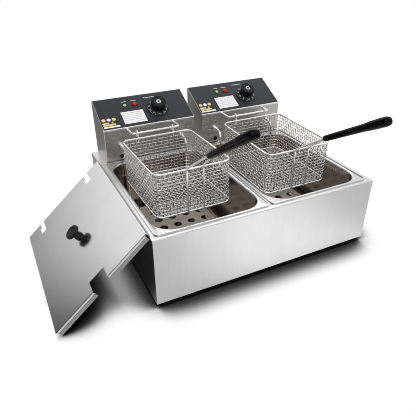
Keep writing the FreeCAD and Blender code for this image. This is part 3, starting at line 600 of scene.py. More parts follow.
def wall_wires(tree, given):
    """Hoops and uprights of the wall, with an even count of uprights so that the wave closes on itself."""
    sides = {"Width": given["Width"], "Height": given["Depth"]}
    outline = add(tree, "GeometryNodeCurvePrimitiveQuadrilateral", sides)
    fillets = {"Curve": outline.outputs[0], "Count": FILLET_POINTS, "Radius": given["Corner"]}
    rounded = add(tree, "GeometryNodeFilletCurve", fillets, mode="POLY").outputs[0]
    length = add(tree, "GeometryNodeCurveLength", {0: rounded}).outputs[0]
    columns = counted(tree, length, given["Pitch"], 2)
    rows = counted(tree, given["Height"], given["Pitch"])
    step_around = number(tree, "DIVIDE", length, columns)
    step_up = number(tree, "DIVIDE", given["Height"], rows)
    fine_columns = number(tree, "MULTIPLY_ADD", columns, POINTS_PER_CROSSING, 1)
    fine_rows = number(tree, "MULTIPLY_ADD", rows, POINTS_PER_CROSSING, 1)
    short = number(tree, "SUBTRACT", length, step_around)
    hoops = (length, fine_columns, number(tree, "ADD", rows, 1), "X", 1.0)
    uprights = (short, columns, fine_rows, "Y", -1.0)
    wires = []
    for reach, points_around, points_up, keep, sign in (hoops, uprights):
        lines = grid_lines(tree, reach, given["Height"], points_around, points_up, keep)
        x, y = place_of(tree)
        around = number(tree, "ADD", x, number(tree, "DIVIDE", reach, 2))
        up = number(tree, "ADD", y, number(tree, "DIVIDE", given["Height"], 2))
        crimp = wave(tree, around, step_around, up, step_up, given["Wire"])
        lift = number(tree, "MULTIPLY", crimp, sign)
        sampled = {"Curves": rounded, "Length": around}
        spot = add(tree, "GeometryNodeSampleCurve", sampled, mode="LENGTH").outputs
        outward = vectors(tree, "CROSS_PRODUCT", spot["Tangent"], (0, 0, 1))
        offset = vectors(tree, "ADD", vectors(tree, "SCALE", outward, lift), vector_of(tree, Z=up))
        wires.append(moved(tree, lines, vectors(tree, "ADD", spot["Position"], offset)))
    return wires


def corner_trim(tree, beside, beside_half, along, along_half, corner):
    """Shorten a floor wire where the basket's corner rounds it off."""
    straight = number(tree, "SUBTRACT", beside_half, corner)
    past = number(tree, "MAXIMUM", number(tree, "SUBTRACT", number(tree, "ABSOLUTE", beside), straight), 0.0)
    corner_square = number(tree, "MULTIPLY", corner, corner)
    square = number(tree, "SUBTRACT", corner_square, number(tree, "MULTIPLY", past, past))
    bow = number(tree, "SQRT", number(tree, "MAXIMUM", square, 0.0))
    reach = number(tree, "ADD", number(tree, "SUBTRACT", along_half, corner), bow)
    return number(tree, "MULTIPLY", along, number(tree, "DIVIDE", reach, along_half))


def floor_wires(tree, given):
    """Two sets of crossing wires, trimmed to the floor's rounded outline."""
    columns = counted(tree, given["Width"], given["Pitch"])
    rows = counted(tree, given["Depth"], given["Pitch"])
    step_x = number(tree, "DIVIDE", given["Width"], columns)
    step_y = number(tree, "DIVIDE", given["Depth"], rows)
    half_x = number(tree, "DIVIDE", given["Width"], 2)
    half_y = number(tree, "DIVIDE", given["Depth"], 2)
    wires = []
    for keep, sign in (("X", 1.0), ("Y", -1.0)):
        fine = [number(tree, "MULTIPLY_ADD", count, POINTS_PER_CROSSING if keep == axis else 1, 1)
                for count, axis in ((columns, "X"), (rows, "Y"))]
        lines = grid_lines(tree, given["Width"], given["Depth"], *fine, keep)
        x, y = place_of(tree)
        if keep == "X":
            x = corner_trim(tree, y, half_y, x, half_x, given["Corner"])
        else:
            y = corner_trim(tree, x, half_x, y, half_y, given["Corner"])
        from_left = number(tree, "ADD", x, half_x)
        from_front = number(tree, "ADD", y, half_y)
        crimp = wave(tree, from_left, step_x, from_front, step_y, given["Wire"])
        lift = number(tree, "MULTIPLY", crimp, sign)
        wires.append(moved(tree, lines, vector_of(tree, X=x, Y=y, Z=lift)))
    return wires


def weave_tree():
    """Basket of crimped wires, with the wire's radius as its Wire input."""
    tree, given = new_tree("basket_weave", ("Width", "Depth", "Corner", "Height", "Pitch", "Wire"))
    gathered = add(tree, "GeometryNodeJoinGeometry")
    for wires in (*wall_wires(tree, given), *floor_wires(tree, given)):
        tree.links.new(wires, gathered.inputs[0])
    circle = {"Resolution": WIRE_SIDES, "Radius": given["Wire"]}
    section = add(tree, "GeometryNodeCurvePrimitiveCircle", circle)
    sweep = {"Curve": gathered.outputs[0], "Profile Curve": section.outputs["Curve"], "Fill Caps": True}
    tube = add(tree, "GeometryNodeCurveToMesh", sweep)
    close_tree(tree, tube.outputs[0], given["Finish"])
    return tree


# %% [markdown]
# ## The baskets on their hangers
# Each basket hangs by two hooks on a bar, and no basket hangs quite level: one tips back a little, the other
# forward. The weave is grown level, and then turned about the bar by the same small angle as its wire frame.
# A node's box would be too large once it is tipped, so its size is measured in the basket's own level frame.

# %% Baskets
WEAVE_PITCH = 7.9 * MM
WIRE_RADIUS = 0.82 * MM
BASKET_CORNER = 18 * MM
NET_THICKNESS = 1.4 * MM
HANGER_RADIUS = 2.5 * MM
BASKET_TILT = {"left": -1.6, "right": 1.2}


def hang(side):
    """Turn about a hanger's bar that takes a level basket to the way it hangs."""
    low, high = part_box(f"{side}_basket_hanger")
    bar = Matrix.Translation((0, low.y + HANGER_RADIUS, (low.z + high.z) / 2))
    return bar @ Matrix.Rotation(math.radians(BASKET_TILT[side]), 4, "X") @ bar.inverted()


def local_box(node, place):
    """Lowest and highest corners of a node, measured in a frame of its own."""
    back = place.inverted()
    points = [back @ vertex.co for vertex in frame["nodes"][node].data.vertices]
    low = Vector([min(point[axis] for point in points) for axis in range(3)])
    high = Vector([max(point[axis] for point in points) for axis in range(3)])
    return low, high


weave = weave_tree()
for side in SIDES:
    low, high = local_box(f"{side}_basket_mesh", hang(side))
    values = {"Width": high.x - low.x - NET_THICKNESS, "Depth": high.y - low.y - NET_THICKNESS,
              "Corner": BASKET_CORNER, "Height": high.z - low.z - NET_THICKNESS / 2,
              "Pitch": WEAVE_PITCH, "Wire": WIRE_RADIUS, "Finish": FINISH["mesh_wire"]}
    basket = grown(f"{side}_basket_weave", weave, values)
    middle = Vector(((low.x + high.x) / 2, (low.y + high.y) / 2, low.z + NET_THICKNESS / 2))
    basket.data.transform(hang(side) @ Matrix.Translation(middle))
    finish_piece(basket, f"{side}_basket", "mesh_wire", [f"{side}_basket_mesh"])
    print(basket.name, len(basket.data.polygons), "faces")

# %% [markdown]
# ## The basket grips
# Each grip is black plastic moulded over the two wire ends. It is slim at the wires, swells towards the hand,
# steps up to a thicker end and closes in a round nose. That is a row of ovals along one axis with a skin over
# them. A scaled cylinder could not step or round off, and a sculpted mesh could not follow the frame's sizes.

# %% Grips
GRIP_PITCH = 31.3
GRIP_SIDES = 36
GRIP_RINGS = 72
GRIP_SHARP = 60
GRIP_SQUARENESS = 2.5
GRIP_NOSE = 0.945
GRIP_SWELL = ((0.0, 0.70), (0.006, 0.84), (0.02, 0.88), (0.40, 0.87), (0.66, 0.88), (0.76, 0.99), (0.90, 1.0),
              (GRIP_NOSE, 0.97), (0.975, 0.84), (0.992, 0.56), (1.0, 0.22))
GRIP_FLATNESS = 0.78


def between(stops, place):
    """Value at a place along a list of stops, eased from stop to stop."""
    for (start, low), (end, high) in zip(stops, stops[1:]):
        if place <= end:
            share = (place - start) / (end - start)
            return low + (high - low) * share * share * (3 - 2 * share)
    return stops[-1][1]


def oval(half_width, half_thick, height):
    """Points of one section, an oval with slightly squared sides."""
    points = []
    for step in range(GRIP_SIDES):
        angle = 2 * math.pi * step / GRIP_SIDES
        across, along = math.cos(angle), math.sin(angle)
        power = 2 / GRIP_SQUARENESS
        x = half_width * math.copysign(abs(across) ** power, across)
        y = half_thick * math.copysign(abs(along) ** power, along)
        points.append(Vector((x, y, height)))
    return points


def skin(name, rings, place, sharp):
    """Closed mesh through rings of points, closed by single points, sharp over an angle in degrees."""
    form = bmesh.new()
    rows = [[form.verts.new(point) for point in ring] for ring in rings]
    for low, high in zip(rows, rows[1:]):
        count = max(len(low), len(high))
        for i in range(count):
            j = (i + 1) % count
            corners = [low[i % len(low)], low[j % len(low)], high[j % len(high)], high[i % len(high)]]
            form.faces.new(list(dict.fromkeys(corners)))
    mesh = mesh_of(form, name)
    mesh.transform(place)
    mesh.shade_smooth()
    mesh.set_sharp_from_angle(angle=math.radians(sharp))
    return bpy.data.objects.new(name, mesh)


for side in SIDES:
    along = hang(side) @ Matrix.Rotation(math.radians(90 - GRIP_PITCH), 4, "X")
    low, high = local_box(f"{side}_basket_grip", along)
    middle, half = (low + high) / 2, (high - low) / 2
    rings = [[Vector((0, 0, low.z))]]
    for step in range(GRIP_RINGS + 1):
        share = step / GRIP_RINGS
        swell = between(GRIP_SWELL, share)
        flat = GRIP_FLATNESS + (1 - GRIP_FLATNESS) * min(share / GRIP_NOSE, 1)
        rings.append(oval(half.x * swell, half.y * swell * flat, low.z + share * (high.z - low.z)))
    rings.append([Vector((0, 0, high.z))])
    place = along @ Matrix.Translation((middle.x, middle.y, 0))
    grip = skin(f"{side}_grip_moulding", rings, place, GRIP_SHARP)
    finish_piece(grip, f"{side}_basket", "grip_plastic", [f"{side}_basket_grip"])
    print(grip.name, [round(2 * value / MM, 1) for value in half])

# %% [markdown]
# ## Turned pieces
# Knobs, lamps and glands are round, so each is an outline turned about its axis, as on a lathe. The outlines
# are lists of radius and height with arcs at the rounded edges. A Screw modifier could turn a curve as well,
# but a short function can put the result straight on the sloping panel.

# %% Lathe and frames
TURN_SIDES = 72
TURN_SHARP = 32


def arc(centre, radius, start, end, steps=6):
    """Round stretch of an outline, from one angle to another in degrees."""
    points = []
    for step in range(steps + 1):
        angle = math.radians(start + (end - start) * step / steps)
        points.append((centre[0] + radius * math.cos(angle), centre[1] + radius * math.sin(angle)))
    return points


def turned(name, outline, place, sides=TURN_SIDES, closed=False):
    """Skin turned about Z from (radius, height) points in millimetres, listed foot first and outwards."""
    if closed:
        outline = [*outline, outline[0]]
    rings = []
    for radius, height in outline:
        count = sides if radius > WELD else 1
        angles = [2 * math.pi * i / count for i in range(count)]
        circle = [(radius * math.cos(angle), radius * math.sin(angle), height) for angle in angles]
        rings.append([Vector(point) * MM for point in circle])
    piece = skin(name, rings, place, TURN_SHARP)
    if closed:
        form = bmesh.new()
        form.from_mesh(piece.data)
        bmesh.ops.remove_doubles(form, verts=form.verts, dist=WELD)
        form.to_mesh(piece.data)
        form.free()
    return piece


def knob_joint(side):
    return next(joint for joint in frame["joints"] if joint["name"] == f"{side}_knob_turn")


def slope_axes(side):
    """Directions of a head's sloping panel: X across, Y up the slope, Z out of it."""
    out = -Vector(knob_joint(side)["axis"])
    across = Vector((1, 0, 0))
    return Matrix((across, out.cross(across), out)).transposed().to_4x4()


def dial_frame(side):
    """Frame on a knob's axis, at the foot of the knob."""
    axis = Matrix.Translation(Vector(knob_joint(side)["pos_m"])) @ slope_axes(side)
    return axis @ Matrix.Translation((0, 0, local_box(f"{side}_knob", axis)[0].z))


def panel_frame(side):
    """Frame on the panel's face, at its middle."""
    axes = slope_axes(side)
    low, high = local_box(f"{side}_control_panel", axes)
    return axes @ Matrix.Translation(((low.x + high.x) / 2, (low.y + high.y) / 2, high.z))


print("panel slopes", round(math.degrees(math.acos(slope_axes("left")[2][2])), 1), "degrees")

# %% [markdown]
# ## Thermostat knobs
# A knob has a sloping skirt that carries the scale and a tall cap to hold. The cap widens into a thick lip,
# its top sinks a little, and a grey ring sits in a dish at its middle. Scale numbers and ticks are printed
# on the skirt, so they turn with the knob. The ticks repeat around a circle, which suits Geometry Nodes, and
# the numbers are short text objects made into meshes.

# %% Knobs and dial scales
SKIRT_EDGE = 1.8
SKIRT_TOP = 4.9
FOOT_ROUND = 0.6
EDGE_ROUND = 0.8
CAP_FOOT = 17.3
CAP_RADIUS = 19.4
CAP_LIP = 7.5
CAP_ROUND = 1.3
ROOT_ROUND = 1.0
ROOT_EASE = 0.3
LIP_SLOPE = 1.6
HOLLOW_RADIUS = 6.0
HOLLOW_DEPTH = 2.0
DISH_RADIUS = 7.6
DISH_DEPTH = 1.4
DISH_SLOPE = 0.6
TOP_SINK = 0.7
RING_OUTER = 6.6
RING_INNER = 2.9
RING_SEAT = 0.1
RING_BEVEL = (0.4, 0.3)
RING_DIP = (0.3, 0.2)
DIAL_NUMBERS = ("0", "60", "80", "100", "120", "140", "160", "180", "200")
DIAL_TURN = 280.0
NUMBER_SIZE = 5.2
NUMBER_CURVE_STEPS = 3
NUMBER_INSET = 0.2
TICKS = 33
TICK_INSET = 1.6
TICK_LENGTH = 1.3
TICK_WIDTH = 0.35
INK = 0.06
knob_low, knob_high = local_box("left_knob", dial_frame("left"))
SKIRT_RADIUS = (knob_high.x - knob_low.x) / 2 / MM
CAP_TOP = knob_high.z / MM
SKIRT_FALL = math.atan2(SKIRT_TOP - SKIRT_EDGE, SKIRT_RADIUS - EDGE_ROUND - CAP_FOOT - ROOT_ROUND)


def skirt_height(radius):
    """Height of the skirt's slope at a distance from the knob's axis."""
    return SKIRT_TOP - (radius - CAP_FOOT - ROOT_ROUND) * math.tan(SKIRT_FALL)


def knob_outline():
    """Hollow foot, skirt, cap, lip and dish, from below to the middle of the top."""
    edge = arc((SKIRT_RADIUS - FOOT_ROUND, FOOT_ROUND), FOOT_ROUND, -90, 0, 4)
    edge += arc((SKIRT_RADIUS - EDGE_ROUND, SKIRT_EDGE - EDGE_ROUND), EDGE_ROUND, 0, 80, 4)
    root = [(CAP_FOOT + ROOT_ROUND, SKIRT_TOP), (CAP_FOOT + ROOT_EASE, SKIRT_TOP + ROOT_EASE),
            (CAP_FOOT, SKIRT_TOP + ROOT_ROUND)]
    lip = [(CAP_FOOT + ROOT_EASE, CAP_TOP - CAP_LIP - LIP_SLOPE), (CAP_RADIUS, CAP_TOP - CAP_LIP)]
    brow = arc((CAP_RADIUS - CAP_ROUND, CAP_TOP - CAP_ROUND), CAP_ROUND, 4, 90, 6)
    dish_floor = CAP_TOP - DISH_DEPTH
    dish = [(DISH_RADIUS + DISH_SLOPE, CAP_TOP - TOP_SINK), (DISH_RADIUS, dish_floor), (0, dish_floor)]
    hollow = [(0, HOLLOW_DEPTH), (HOLLOW_RADIUS, HOLLOW_DEPTH), (HOLLOW_RADIUS, 0)]
    return hollow + edge + root + lip + brow + dish


def ring_outline():
    """Flat ring that sits in the cap's dish, bevelled outside and dipping towards its middle."""
    top = CAP_TOP - TOP_SINK
    foot = CAP_TOP - DISH_DEPTH - RING_SEAT
    return [(RING_INNER, foot), (RING_OUTER, foot), (RING_OUTER, top - RING_BEVEL[1]),
            (RING_OUTER - RING_BEVEL[0], top), (RING_INNER + RING_DIP[0], top - RING_DIP[1])]


def tick_tree():
    """Short bars around part of a circle, lying on the sloping skirt."""
    sizes = ("Radius", "Height", "Start", "Turn", "Fall", "Length", "Width", "Thickness")
    tree, given = new_tree("dial_ticks", sizes, counts=("Count",))
    row = add(tree, "GeometryNodeMeshLine", {"Count": given["Count"]})
    last = number(tree, "SUBTRACT", given["Count"], 1)
    share = number(tree, "DIVIDE", add(tree, "GeometryNodeInputIndex").outputs[0], last)
    angle = number(tree, "ADD", given["Start"], number(tree, "MULTIPLY", share, given["Turn"]))
    x = number(tree, "MULTIPLY", number(tree, "COSINE", angle), given["Radius"])
    y = number(tree, "MULTIPLY", number(tree, "SINE", angle), given["Radius"])
    spots = moved(tree, row.outputs[0], vector_of(tree, X=x, Y=y, Z=given["Height"]))
    bar_size = vector_of(tree, X=given["Length"], Y=given["Width"], Z=given["Thickness"])
    bar = add(tree, "GeometryNodeMeshCube", {"Size": bar_size})
    turn = vector_of(tree, Y=given["Fall"], Z=angle)
    bars = {"Points": spots, "Instance": bar.outputs["Mesh"], "Rotation": turn}
    copies = add(tree, "GeometryNodeInstanceOnPoints", bars)
    close_tree(tree, copies.outputs[0], given["Finish"], smooth=False)
    return tree


def printed_words(name, words, size):
    """Short text as a thin flat mesh, centred on its own middle."""
    data = bpy.data.curves.new(name, "FONT")
    data.body = words
    data.size = size * MM
    data.align_x = "CENTER"
    data.align_y = "CENTER"
    data.extrude = INK * MM / 2
    data.resolution_u = NUMBER_CURVE_STEPS
    writing = bpy.data.objects.new(name, data)
    SCENE.collection.objects.link(writing)
    mesh = settled(writing)
    bpy.data.objects.remove(writing)
    return mesh


def joined(name, meshes):
    """One object from several meshes that are already in place."""
    form = bmesh.new()
    for mesh in meshes:
        form.from_mesh(mesh)
    return bpy.data.objects.new(name, mesh_of(form, name))


def dial_numbers(place):
    """Scale numbers around the skirt, upright when they stand at its top."""
    radius = (SKIRT_RADIUS + CAP_FOOT) / 2 - NUMBER_INSET
    height = skirt_height(radius) + INK
    step = DIAL_TURN / (len(DIAL_NUMBERS) - 1)
    meshes = []
    for count, words in enumerate(DIAL_NUMBERS):
        mesh = printed_words("dial_number", words, NUMBER_SIZE)
        turn = Matrix.Rotation(math.radians(step * count), 4, "Z")
        lie = Matrix.Translation(Vector((0, radius, height)) * MM) @ Matrix.Rotation(-SKIRT_FALL, 4, "X")
        mesh.transform(place @ turn @ lie)
        meshes.append(mesh)
    return meshes


ticks = tick_tree()
tick_radius = SKIRT_RADIUS - TICK_INSET
tick_height = skirt_height(tick_radius) + INK / 2
tick_values = {"Count": TICKS, "Radius": tick_radius * MM, "Height": tick_height * MM, "Start": math.pi / 2,
               "Turn": math.radians(DIAL_TURN), "Fall": SKIRT_FALL, "Length": TICK_LENGTH * MM,
               "Width": TICK_WIDTH * MM, "Thickness": INK * MM, "Finish": FINISH["white_ink"]}
for side in SIDES:
    place = dial_frame(side)
    dial = f"{side}_dial"
    knob = turned(f"{side}_knob_moulding", knob_outline(), place)
    finish_piece(knob, dial, "black_plastic", [f"{side}_knob"])
    finish_piece(turned(f"{side}_knob_ring", ring_outline(), place, closed=True), dial, "grey_ink")
    marks = grown(f"{side}_dial_ticks", ticks, tick_values)
    marks.data.transform(place)
    finish_piece(marks, dial, "white_ink")
    finish_piece(joined(f"{side}_dial_numbers", dial_numbers(place)), dial, "grey_ink")
    print(knob.name, len(knob.data.polygons), "faces,", len(DIAL_NUMBERS), "numbers,", TICKS, "ticks")

# %% [markdown]
# ## Signal lamps
# A lamp is a round lens that stands in a thin black bezel. The lens is a shallow dome: one outline turned
# about the lamp's axis gives it, and its coat gives the small highlight. Each lamp stands where its node
# does.

# %% Lamps
BEZEL_HEIGHT = 1.2
BEZEL_BEVEL = (0.3, 0.4)
LENS_SHARE = 0.86
LENS_FOOT = 0.1
DOME_DROP = 0.5
DOME_START = 30
DOME_STEPS = 10
LAMPS = {"power_lamp": "lamp_green", "heat_lamp": "lamp_red"}


def lens_outline(radius):
    """Dome over a flat foot inside the bezel, closed by one point at the top."""
    dome = arc((0, BEZEL_HEIGHT - DOME_DROP * radius), radius, DOME_START, 90, DOME_STEPS)
    foot = [(0, LENS_FOOT), (LENS_SHARE * radius, LENS_FOOT)]
    return foot + dome[:-1] + [(0, BEZEL_HEIGHT + (1 - DOME_DROP) * radius)]


def bezel_outline(radius):
    """Thin ring around the lens, bevelled outside."""
    inner = LENS_SHARE * radius
    return [(inner, 0), (radius, 0), (radius, BEZEL_HEIGHT - BEZEL_BEVEL[1]),
            (radius - BEZEL_BEVEL[0], BEZEL_HEIGHT), (inner, BEZEL_HEIGHT)]


for side in SIDES:
    panel = panel_frame(side)
    for lamp, slot in LAMPS.items():
        node = f"{side}_{lamp}"
        low, high = local_box(node, panel)
        radius = (high.x - low.x) / 2 / MM
        place = panel @ Matrix.Translation(((low.x + high.x) / 2, (low.y + high.y) / 2, 0))
        glass = turned(f"{node}_lens", lens_outline(radius), place)
        finish_piece(glass, BODY_OF[node], slot, [node])
        bezel = turned(f"{node}_bezel", bezel_outline(radius), place, closed=True)
        finish_piece(bezel, BODY_OF[node], "black_plastic")
    print(side, "lamps on the panel")

# %% [markdown]
# ## The lid's knob
# The lid has one moulded knob: a foot on the sheet, a waist for the fingers and a flat round cap. The lid
# leans, so the knob's axis is the direction that most of the lid's sheet faces, found from its largest face.

# %% Lid knob
LID_KNOB_FOOT = 10.0
LID_KNOB_EDGE = 1.2
LID_KNOB_NECK = 7.8
LID_KNOB_BOW = 1.6
LID_KNOB_RIM = 6.0
LID_KNOB_BRIM = 1.2
LID_KNOB_BROW = 2.2
LID_KNOB_FACE = ((0.62, 0.0), (0.56, 0.3), (0.0, 0.4))


def lid_knob_outline(radius, height):
    """Foot, waist and flat cap with rounded edges, for a knob of one radius and height."""
    cap_foot = height - LID_KNOB_RIM
    bow = LID_KNOB_FOOT + LID_KNOB_BOW
    waist = arc((bow, cap_foot / 2), bow - LID_KNOB_NECK, 235, 125, 8)
    brim = arc((radius - LID_KNOB_BRIM, cap_foot + LID_KNOB_BRIM), LID_KNOB_BRIM, -80, 0, 4)
    brow = arc((radius - LID_KNOB_BROW, height - LID_KNOB_BROW), LID_KNOB_BROW, 0, 90, 6)
    top = [(radius * share, height - sink) for share, sink in LID_KNOB_FACE]
    return [(0, 0), (LID_KNOB_FOOT, 0), (LID_KNOB_FOOT, LID_KNOB_EDGE)] + waist + brim + brow + top


def facing(node):
    """Direction of a node's largest flat area that looks upwards."""
    areas = {}
    for face in frame["nodes"][node].data.polygons:
        key = tuple(round(value, 3) for value in face.normal)
        areas[key] = areas.get(key, 0) + face.area
    upward = {key: area for key, area in areas.items() if key[2] > 0}
    return Vector(max(upward, key=upward.get)).normalized()


lean = Vector((0, 0, 1)).rotation_difference(facing("lid_sheet")).to_matrix().to_4x4()
low, high = local_box("lid_knob", lean)
foot = lean @ Matrix.Translation(((low.x + high.x) / 2, (low.y + high.y) / 2, low.z))
size = (high - low) / MM
lid_knob = turned("lid_knob_moulding", lid_knob_outline(size.x / 2, size.z), foot)
finish_piece(lid_knob, BODY_OF["lid_knob"], "black_plastic", ["lid_knob"])
print(lid_knob.name, "leans", round(math.degrees(facing("lid_sheet").angle(Vector((0, 0, 1)))), 1), "degrees")

# %% [markdown]
# ## Print on the panels
# The panel carries flat ink: a pale plate with rows of dashes, a small badge of discs and bars, and short
# bars beside the lamps and the knob. They are thin plates, a few hundredths of a millimetre over the panel,
# because a decal picture would need an image and would blur from nearby.

# %% Panel print
PLATE = (-63.5, -42.5, -4.5, -1.5)
PLATE_ROWS = 6
PLATE_EDGE = 4.0
PLATE_CORNER = 0.8
DASHES = (9.0, 5.0, 12.0, 7.0, 4.0, 10.0, 6.0)
DASH_GAP = 2.2
DASH_HEIGHT = 1.7
DASH_CORNER = 0.3
CAPTIONS = ((-51.5, 32.4, -38.5, 34.4), (-27.0, 32.4, -11.5, 34.4), (10.0, 36.4, 40.0, 38.6))
CAPTION_CORNER = 0.6
BADGE_WHITE = ((-118.5, -46.5, -77.0, -41.5), (-118.5, -32.5, -101.5, -29.0))
BADGE_YELLOW = ((-118.5, -39.5, -86.0, -34.5),)
BADGE_DISCS = (("yellow_ink", -112.5, -20.0, 5.0), ("white_ink", -99.5, -20.0, 5.0),
               ("yellow_ink", -86.5, -20.0, 5.0), ("yellow_ink", -93.0, -30.5, 2.6))
DISC_SIDES = 32


def rounded_patch(left, foot, right, top, corner):
    """Outline of a flat patch with rounded corners."""
    points = []
    for x, y, start in ((right, foot, -90), (right, top, 0), (left, top, 90), (left, foot, 180)):
        inward_x = math.copysign(corner, (left + right) / 2 - x)
        inward_y = math.copysign(corner, (foot + top) / 2 - y)
        points += arc((x + inward_x, y + inward_y), corner, start, start + 90, 4)
    return points


def inked(name, outlines, place, height):
    """Thin plates over a flat face, one for each outline."""
    form = bmesh.new()
    for outline in outlines:
        foot = [form.verts.new(place @ (Vector((x, y, 0)) * MM)) for x, y in outline]
        top = [form.verts.new(place @ (Vector((x, y, height)) * MM)) for x, y in outline]
        form.faces.new(foot[::-1])
        form.faces.new(top)
        for i in range(len(outline)):
            j = (i + 1) % len(outline)
            form.faces.new((foot[i], foot[j], top[j], top[i]))
    return bpy.data.objects.new(name, mesh_of(form, name))


def plate_dashes():
    """Rows of dashes of uneven length on the pale plate."""
    left, foot, right, top = PLATE
    step = (top - foot) / (PLATE_ROWS + 1)
    dashes = []
    for row in range(PLATE_ROWS):
        middle = top - step * (row + 1)
        start = left + PLATE_EDGE
        count = row
        while start + DASHES[count % len(DASHES)] < right - PLATE_EDGE:
            end = start + DASHES[count % len(DASHES)]
            dashes.append((start, middle - DASH_HEIGHT / 2, end, middle + DASH_HEIGHT / 2))
            start = end + DASH_GAP
            count += 1
    return dashes


for side in SIDES:
    panel = panel_frame(side)
    body = BODY_OF[f"{side}_control_panel"]
    ink = {"white_ink": [rounded_patch(*patch, PLATE_CORNER) for patch in (PLATE, *BADGE_WHITE)],
           "yellow_ink": [rounded_patch(*patch, PLATE_CORNER) for patch in BADGE_YELLOW],
           "grey_ink": [rounded_patch(*patch, CAPTION_CORNER) for patch in CAPTIONS]}
    for colour, x, y, radius in BADGE_DISCS:
        ink[colour].append(arc((x, y), radius, 0, 360 - 360 / DISC_SIDES, DISC_SIDES - 1))
    for colour, outlines in ink.items():
        finish_piece(inked(f"{side}_panel_{colour}", outlines, panel, INK), body, colour)
    dashes = [rounded_patch(*dash, DASH_CORNER) for dash in plate_dashes()]
    finish_piece(inked(f"{side}_plate_dashes", dashes, panel, 2 * INK), body, "grey_ink")
    print(side, "panel:", sum(len(shapes) for shapes in ink.values()), "inked shapes")

# %% [markdown]
# ## The lid's hem
# The lip around the lid is folded back on itself at its edge, so a thin second layer stands out along its lower
# part. That layer gets a darker copy of the lid's steel, painted shade that stands for its reflection of the
# shaded floor it looks down at. Each strip is one rounded section pushed along the lip, on both sides of the notch
# for the basket's handle.

# %% Lid hem
HEM_HEIGHT = 8.5
HEM_RISE = 0.8
HEM_SEAT = 0.1
HEM_ROUND = 0.4
CORNER_RELIEF = 6.0
NOTCH_HALF = 21.0
ALONG_SLOPE = Matrix(((0, 0, 1), (1, 0, 0), (0, 1, 0))).to_4x4()

low, high = (corner / MM for corner in local_box("lid_sheet", lean))
middle = (low.x + high.x) / 2
section = rounded_patch(low.y - HEM_RISE, low.z, low.y + HEM_SEAT, low.z + HEM_HEIGHT, HEM_ROUND)
for name, start, end in (("lower", low.x + CORNER_RELIEF, middle - NOTCH_HALF),
                         ("upper", middle + NOTCH_HALF, high.x - CORNER_RELIEF)):
    place = lean @ Matrix.Translation((start * MM, 0, 0)) @ ALONG_SLOPE
    hem = inked(f"lid_hem_{name}", [section], place, end - start)
    finish_piece(hem, BODY_OF["lid_sheet"], "hem_steel_painted_shade")
    print(hem.name, round(end - start, 1), "mm long")

# %% [markdown]
# ## Screws and glands at the back
# The rear panel and the covers are held by small pan-head screws near their edges, and each control head has
# a gland with a six-sided nut. Screws repeat, so a Geometry Nodes tree puts one on each point of a grid.
# The cross slot is cut with a Mesh Boolean node, because a painted cross would vanish in the exported mesh.

# %% Screws and glands
SCREW_RADIUS = 2.6
SCREW_RISE = 1.3
SCREW_SLOT = 0.6
SCREW_SIDES = 20
SCREW_TOP_SHARE = 0.68
SCREW_GRIDS = {"rear_panel": (4, 2, 14.0)}
SCREW_GRIDS.update({f"{side}_head_cover": (2, 2, 8.0) for side in SIDES})
BACKWARDS = Matrix.Rotation(math.radians(-90), 4, "X")
NUT_SIDES = 6
GLAND_NUT = ((5.0, 0.1), (9.9, 0.1), (9.9, 4.2), (9.2, 5.0), (5.0, 5.0))
GLAND_CAP = ((4.0, 4.5), (8.4, 4.5), (8.4, 9.5), *arc((5.2, 9.8), 3.2, 0, 75), (4.6, 13.6), (4.0, 13.2))


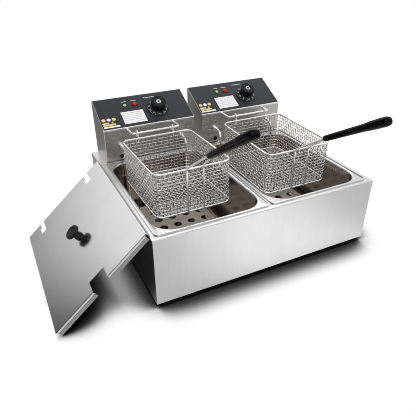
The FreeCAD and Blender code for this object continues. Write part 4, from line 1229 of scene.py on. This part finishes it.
def screw_tree():
    """Round heads with a cross slot, one on each point of a grid."""
    sizes = ("Width", "Height", "Radius", "Rise", "Slot")
    tree, given = new_tree("screw_heads", sizes, counts=("Columns", "Rows"))
    spread = {"Size X": "Width", "Size Y": "Height", "Vertices X": "Columns", "Vertices Y": "Rows"}
    points = add(tree, "GeometryNodeMeshGrid", {name: given[value] for name, value in spread.items()})
    top = number(tree, "MULTIPLY", given["Radius"], SCREW_TOP_SHARE)
    head = add(tree, "GeometryNodeMeshCone", {"Vertices": SCREW_SIDES, "Radius Top": top,
                                              "Radius Bottom": given["Radius"], "Depth": given["Rise"]})
    cut = add(tree, "GeometryNodeMeshBoolean", {"Mesh 1": head.outputs["Mesh"]}, operation="DIFFERENCE")
    lift = vector_of(tree, Z=given["Rise"])
    for long_axis, short_axis in (("X", "Y"), ("Y", "X")):
        sides = {long_axis: given["Radius"], short_axis: given["Slot"], "Z": given["Rise"]}
        blade = add(tree, "GeometryNodeMeshCube", {"Size": vector_of(tree, **sides)})
        raised = add(tree, "GeometryNodeTransform", {"Geometry": blade.outputs["Mesh"], "Translation": lift})
        fill(tree, cut, {"Mesh 2": raised.outputs[0]})
    heads = {"Points": points.outputs["Mesh"], "Instance": cut.outputs[0]}
    copies = add(tree, "GeometryNodeInstanceOnPoints", heads)
    close_tree(tree, copies.outputs[0], given["Finish"], smooth=False)
    return tree


def gland_pieces(side):
    """Hexagon nut and domed cap around the hole for a lead."""
    low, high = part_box(f"{side}_cable_gland")
    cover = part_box(f"{side}_head_cover")[1].y
    place = Matrix.Translation(((low.x + high.x) / 2, cover, (low.z + high.z) / 2)) @ BACKWARDS
    nut = turned(f"{side}_gland_nut", GLAND_NUT, place, sides=NUT_SIDES, closed=True)
    cap = turned(f"{side}_gland_cap", GLAND_CAP, place, closed=True)
    return nut, cap


screws = screw_tree()
for node, (columns, rows, inset) in SCREW_GRIDS.items():
    low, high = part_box(node)
    values = {"Columns": columns, "Rows": rows, "Width": high.x - low.x - 2 * inset * MM,
              "Height": high.z - low.z - 2 * inset * MM, "Radius": SCREW_RADIUS * MM, "Rise": SCREW_RISE * MM,
              "Slot": SCREW_SLOT * MM, "Finish": FINISH["screw_steel"]}
    heads = grown(f"{node}_screws", screws, values)
    heads.data.transform(Matrix.Translation(((low.x + high.x) / 2, high.y, (low.z + high.z) / 2)) @ BACKWARDS)
    finish_piece(heads, BODY_OF[node], "screw_steel")
    print(heads.name, len(heads.data.polygons), "faces")
for side in SIDES:
    nut, cap = gland_pieces(side)
    body = BODY_OF[f"{side}_cable_gland"]
    finish_piece(nut, body, "black_plastic")
    finish_piece(cap, body, "black_plastic", [f"{side}_cable_gland"])
    print(side, "gland at the back")

# %% [markdown]
# ## End
# Nothing more is made after this point. The dressed object has to stay inside the frame's box.

# %% End of the scene
print("scene dressed")
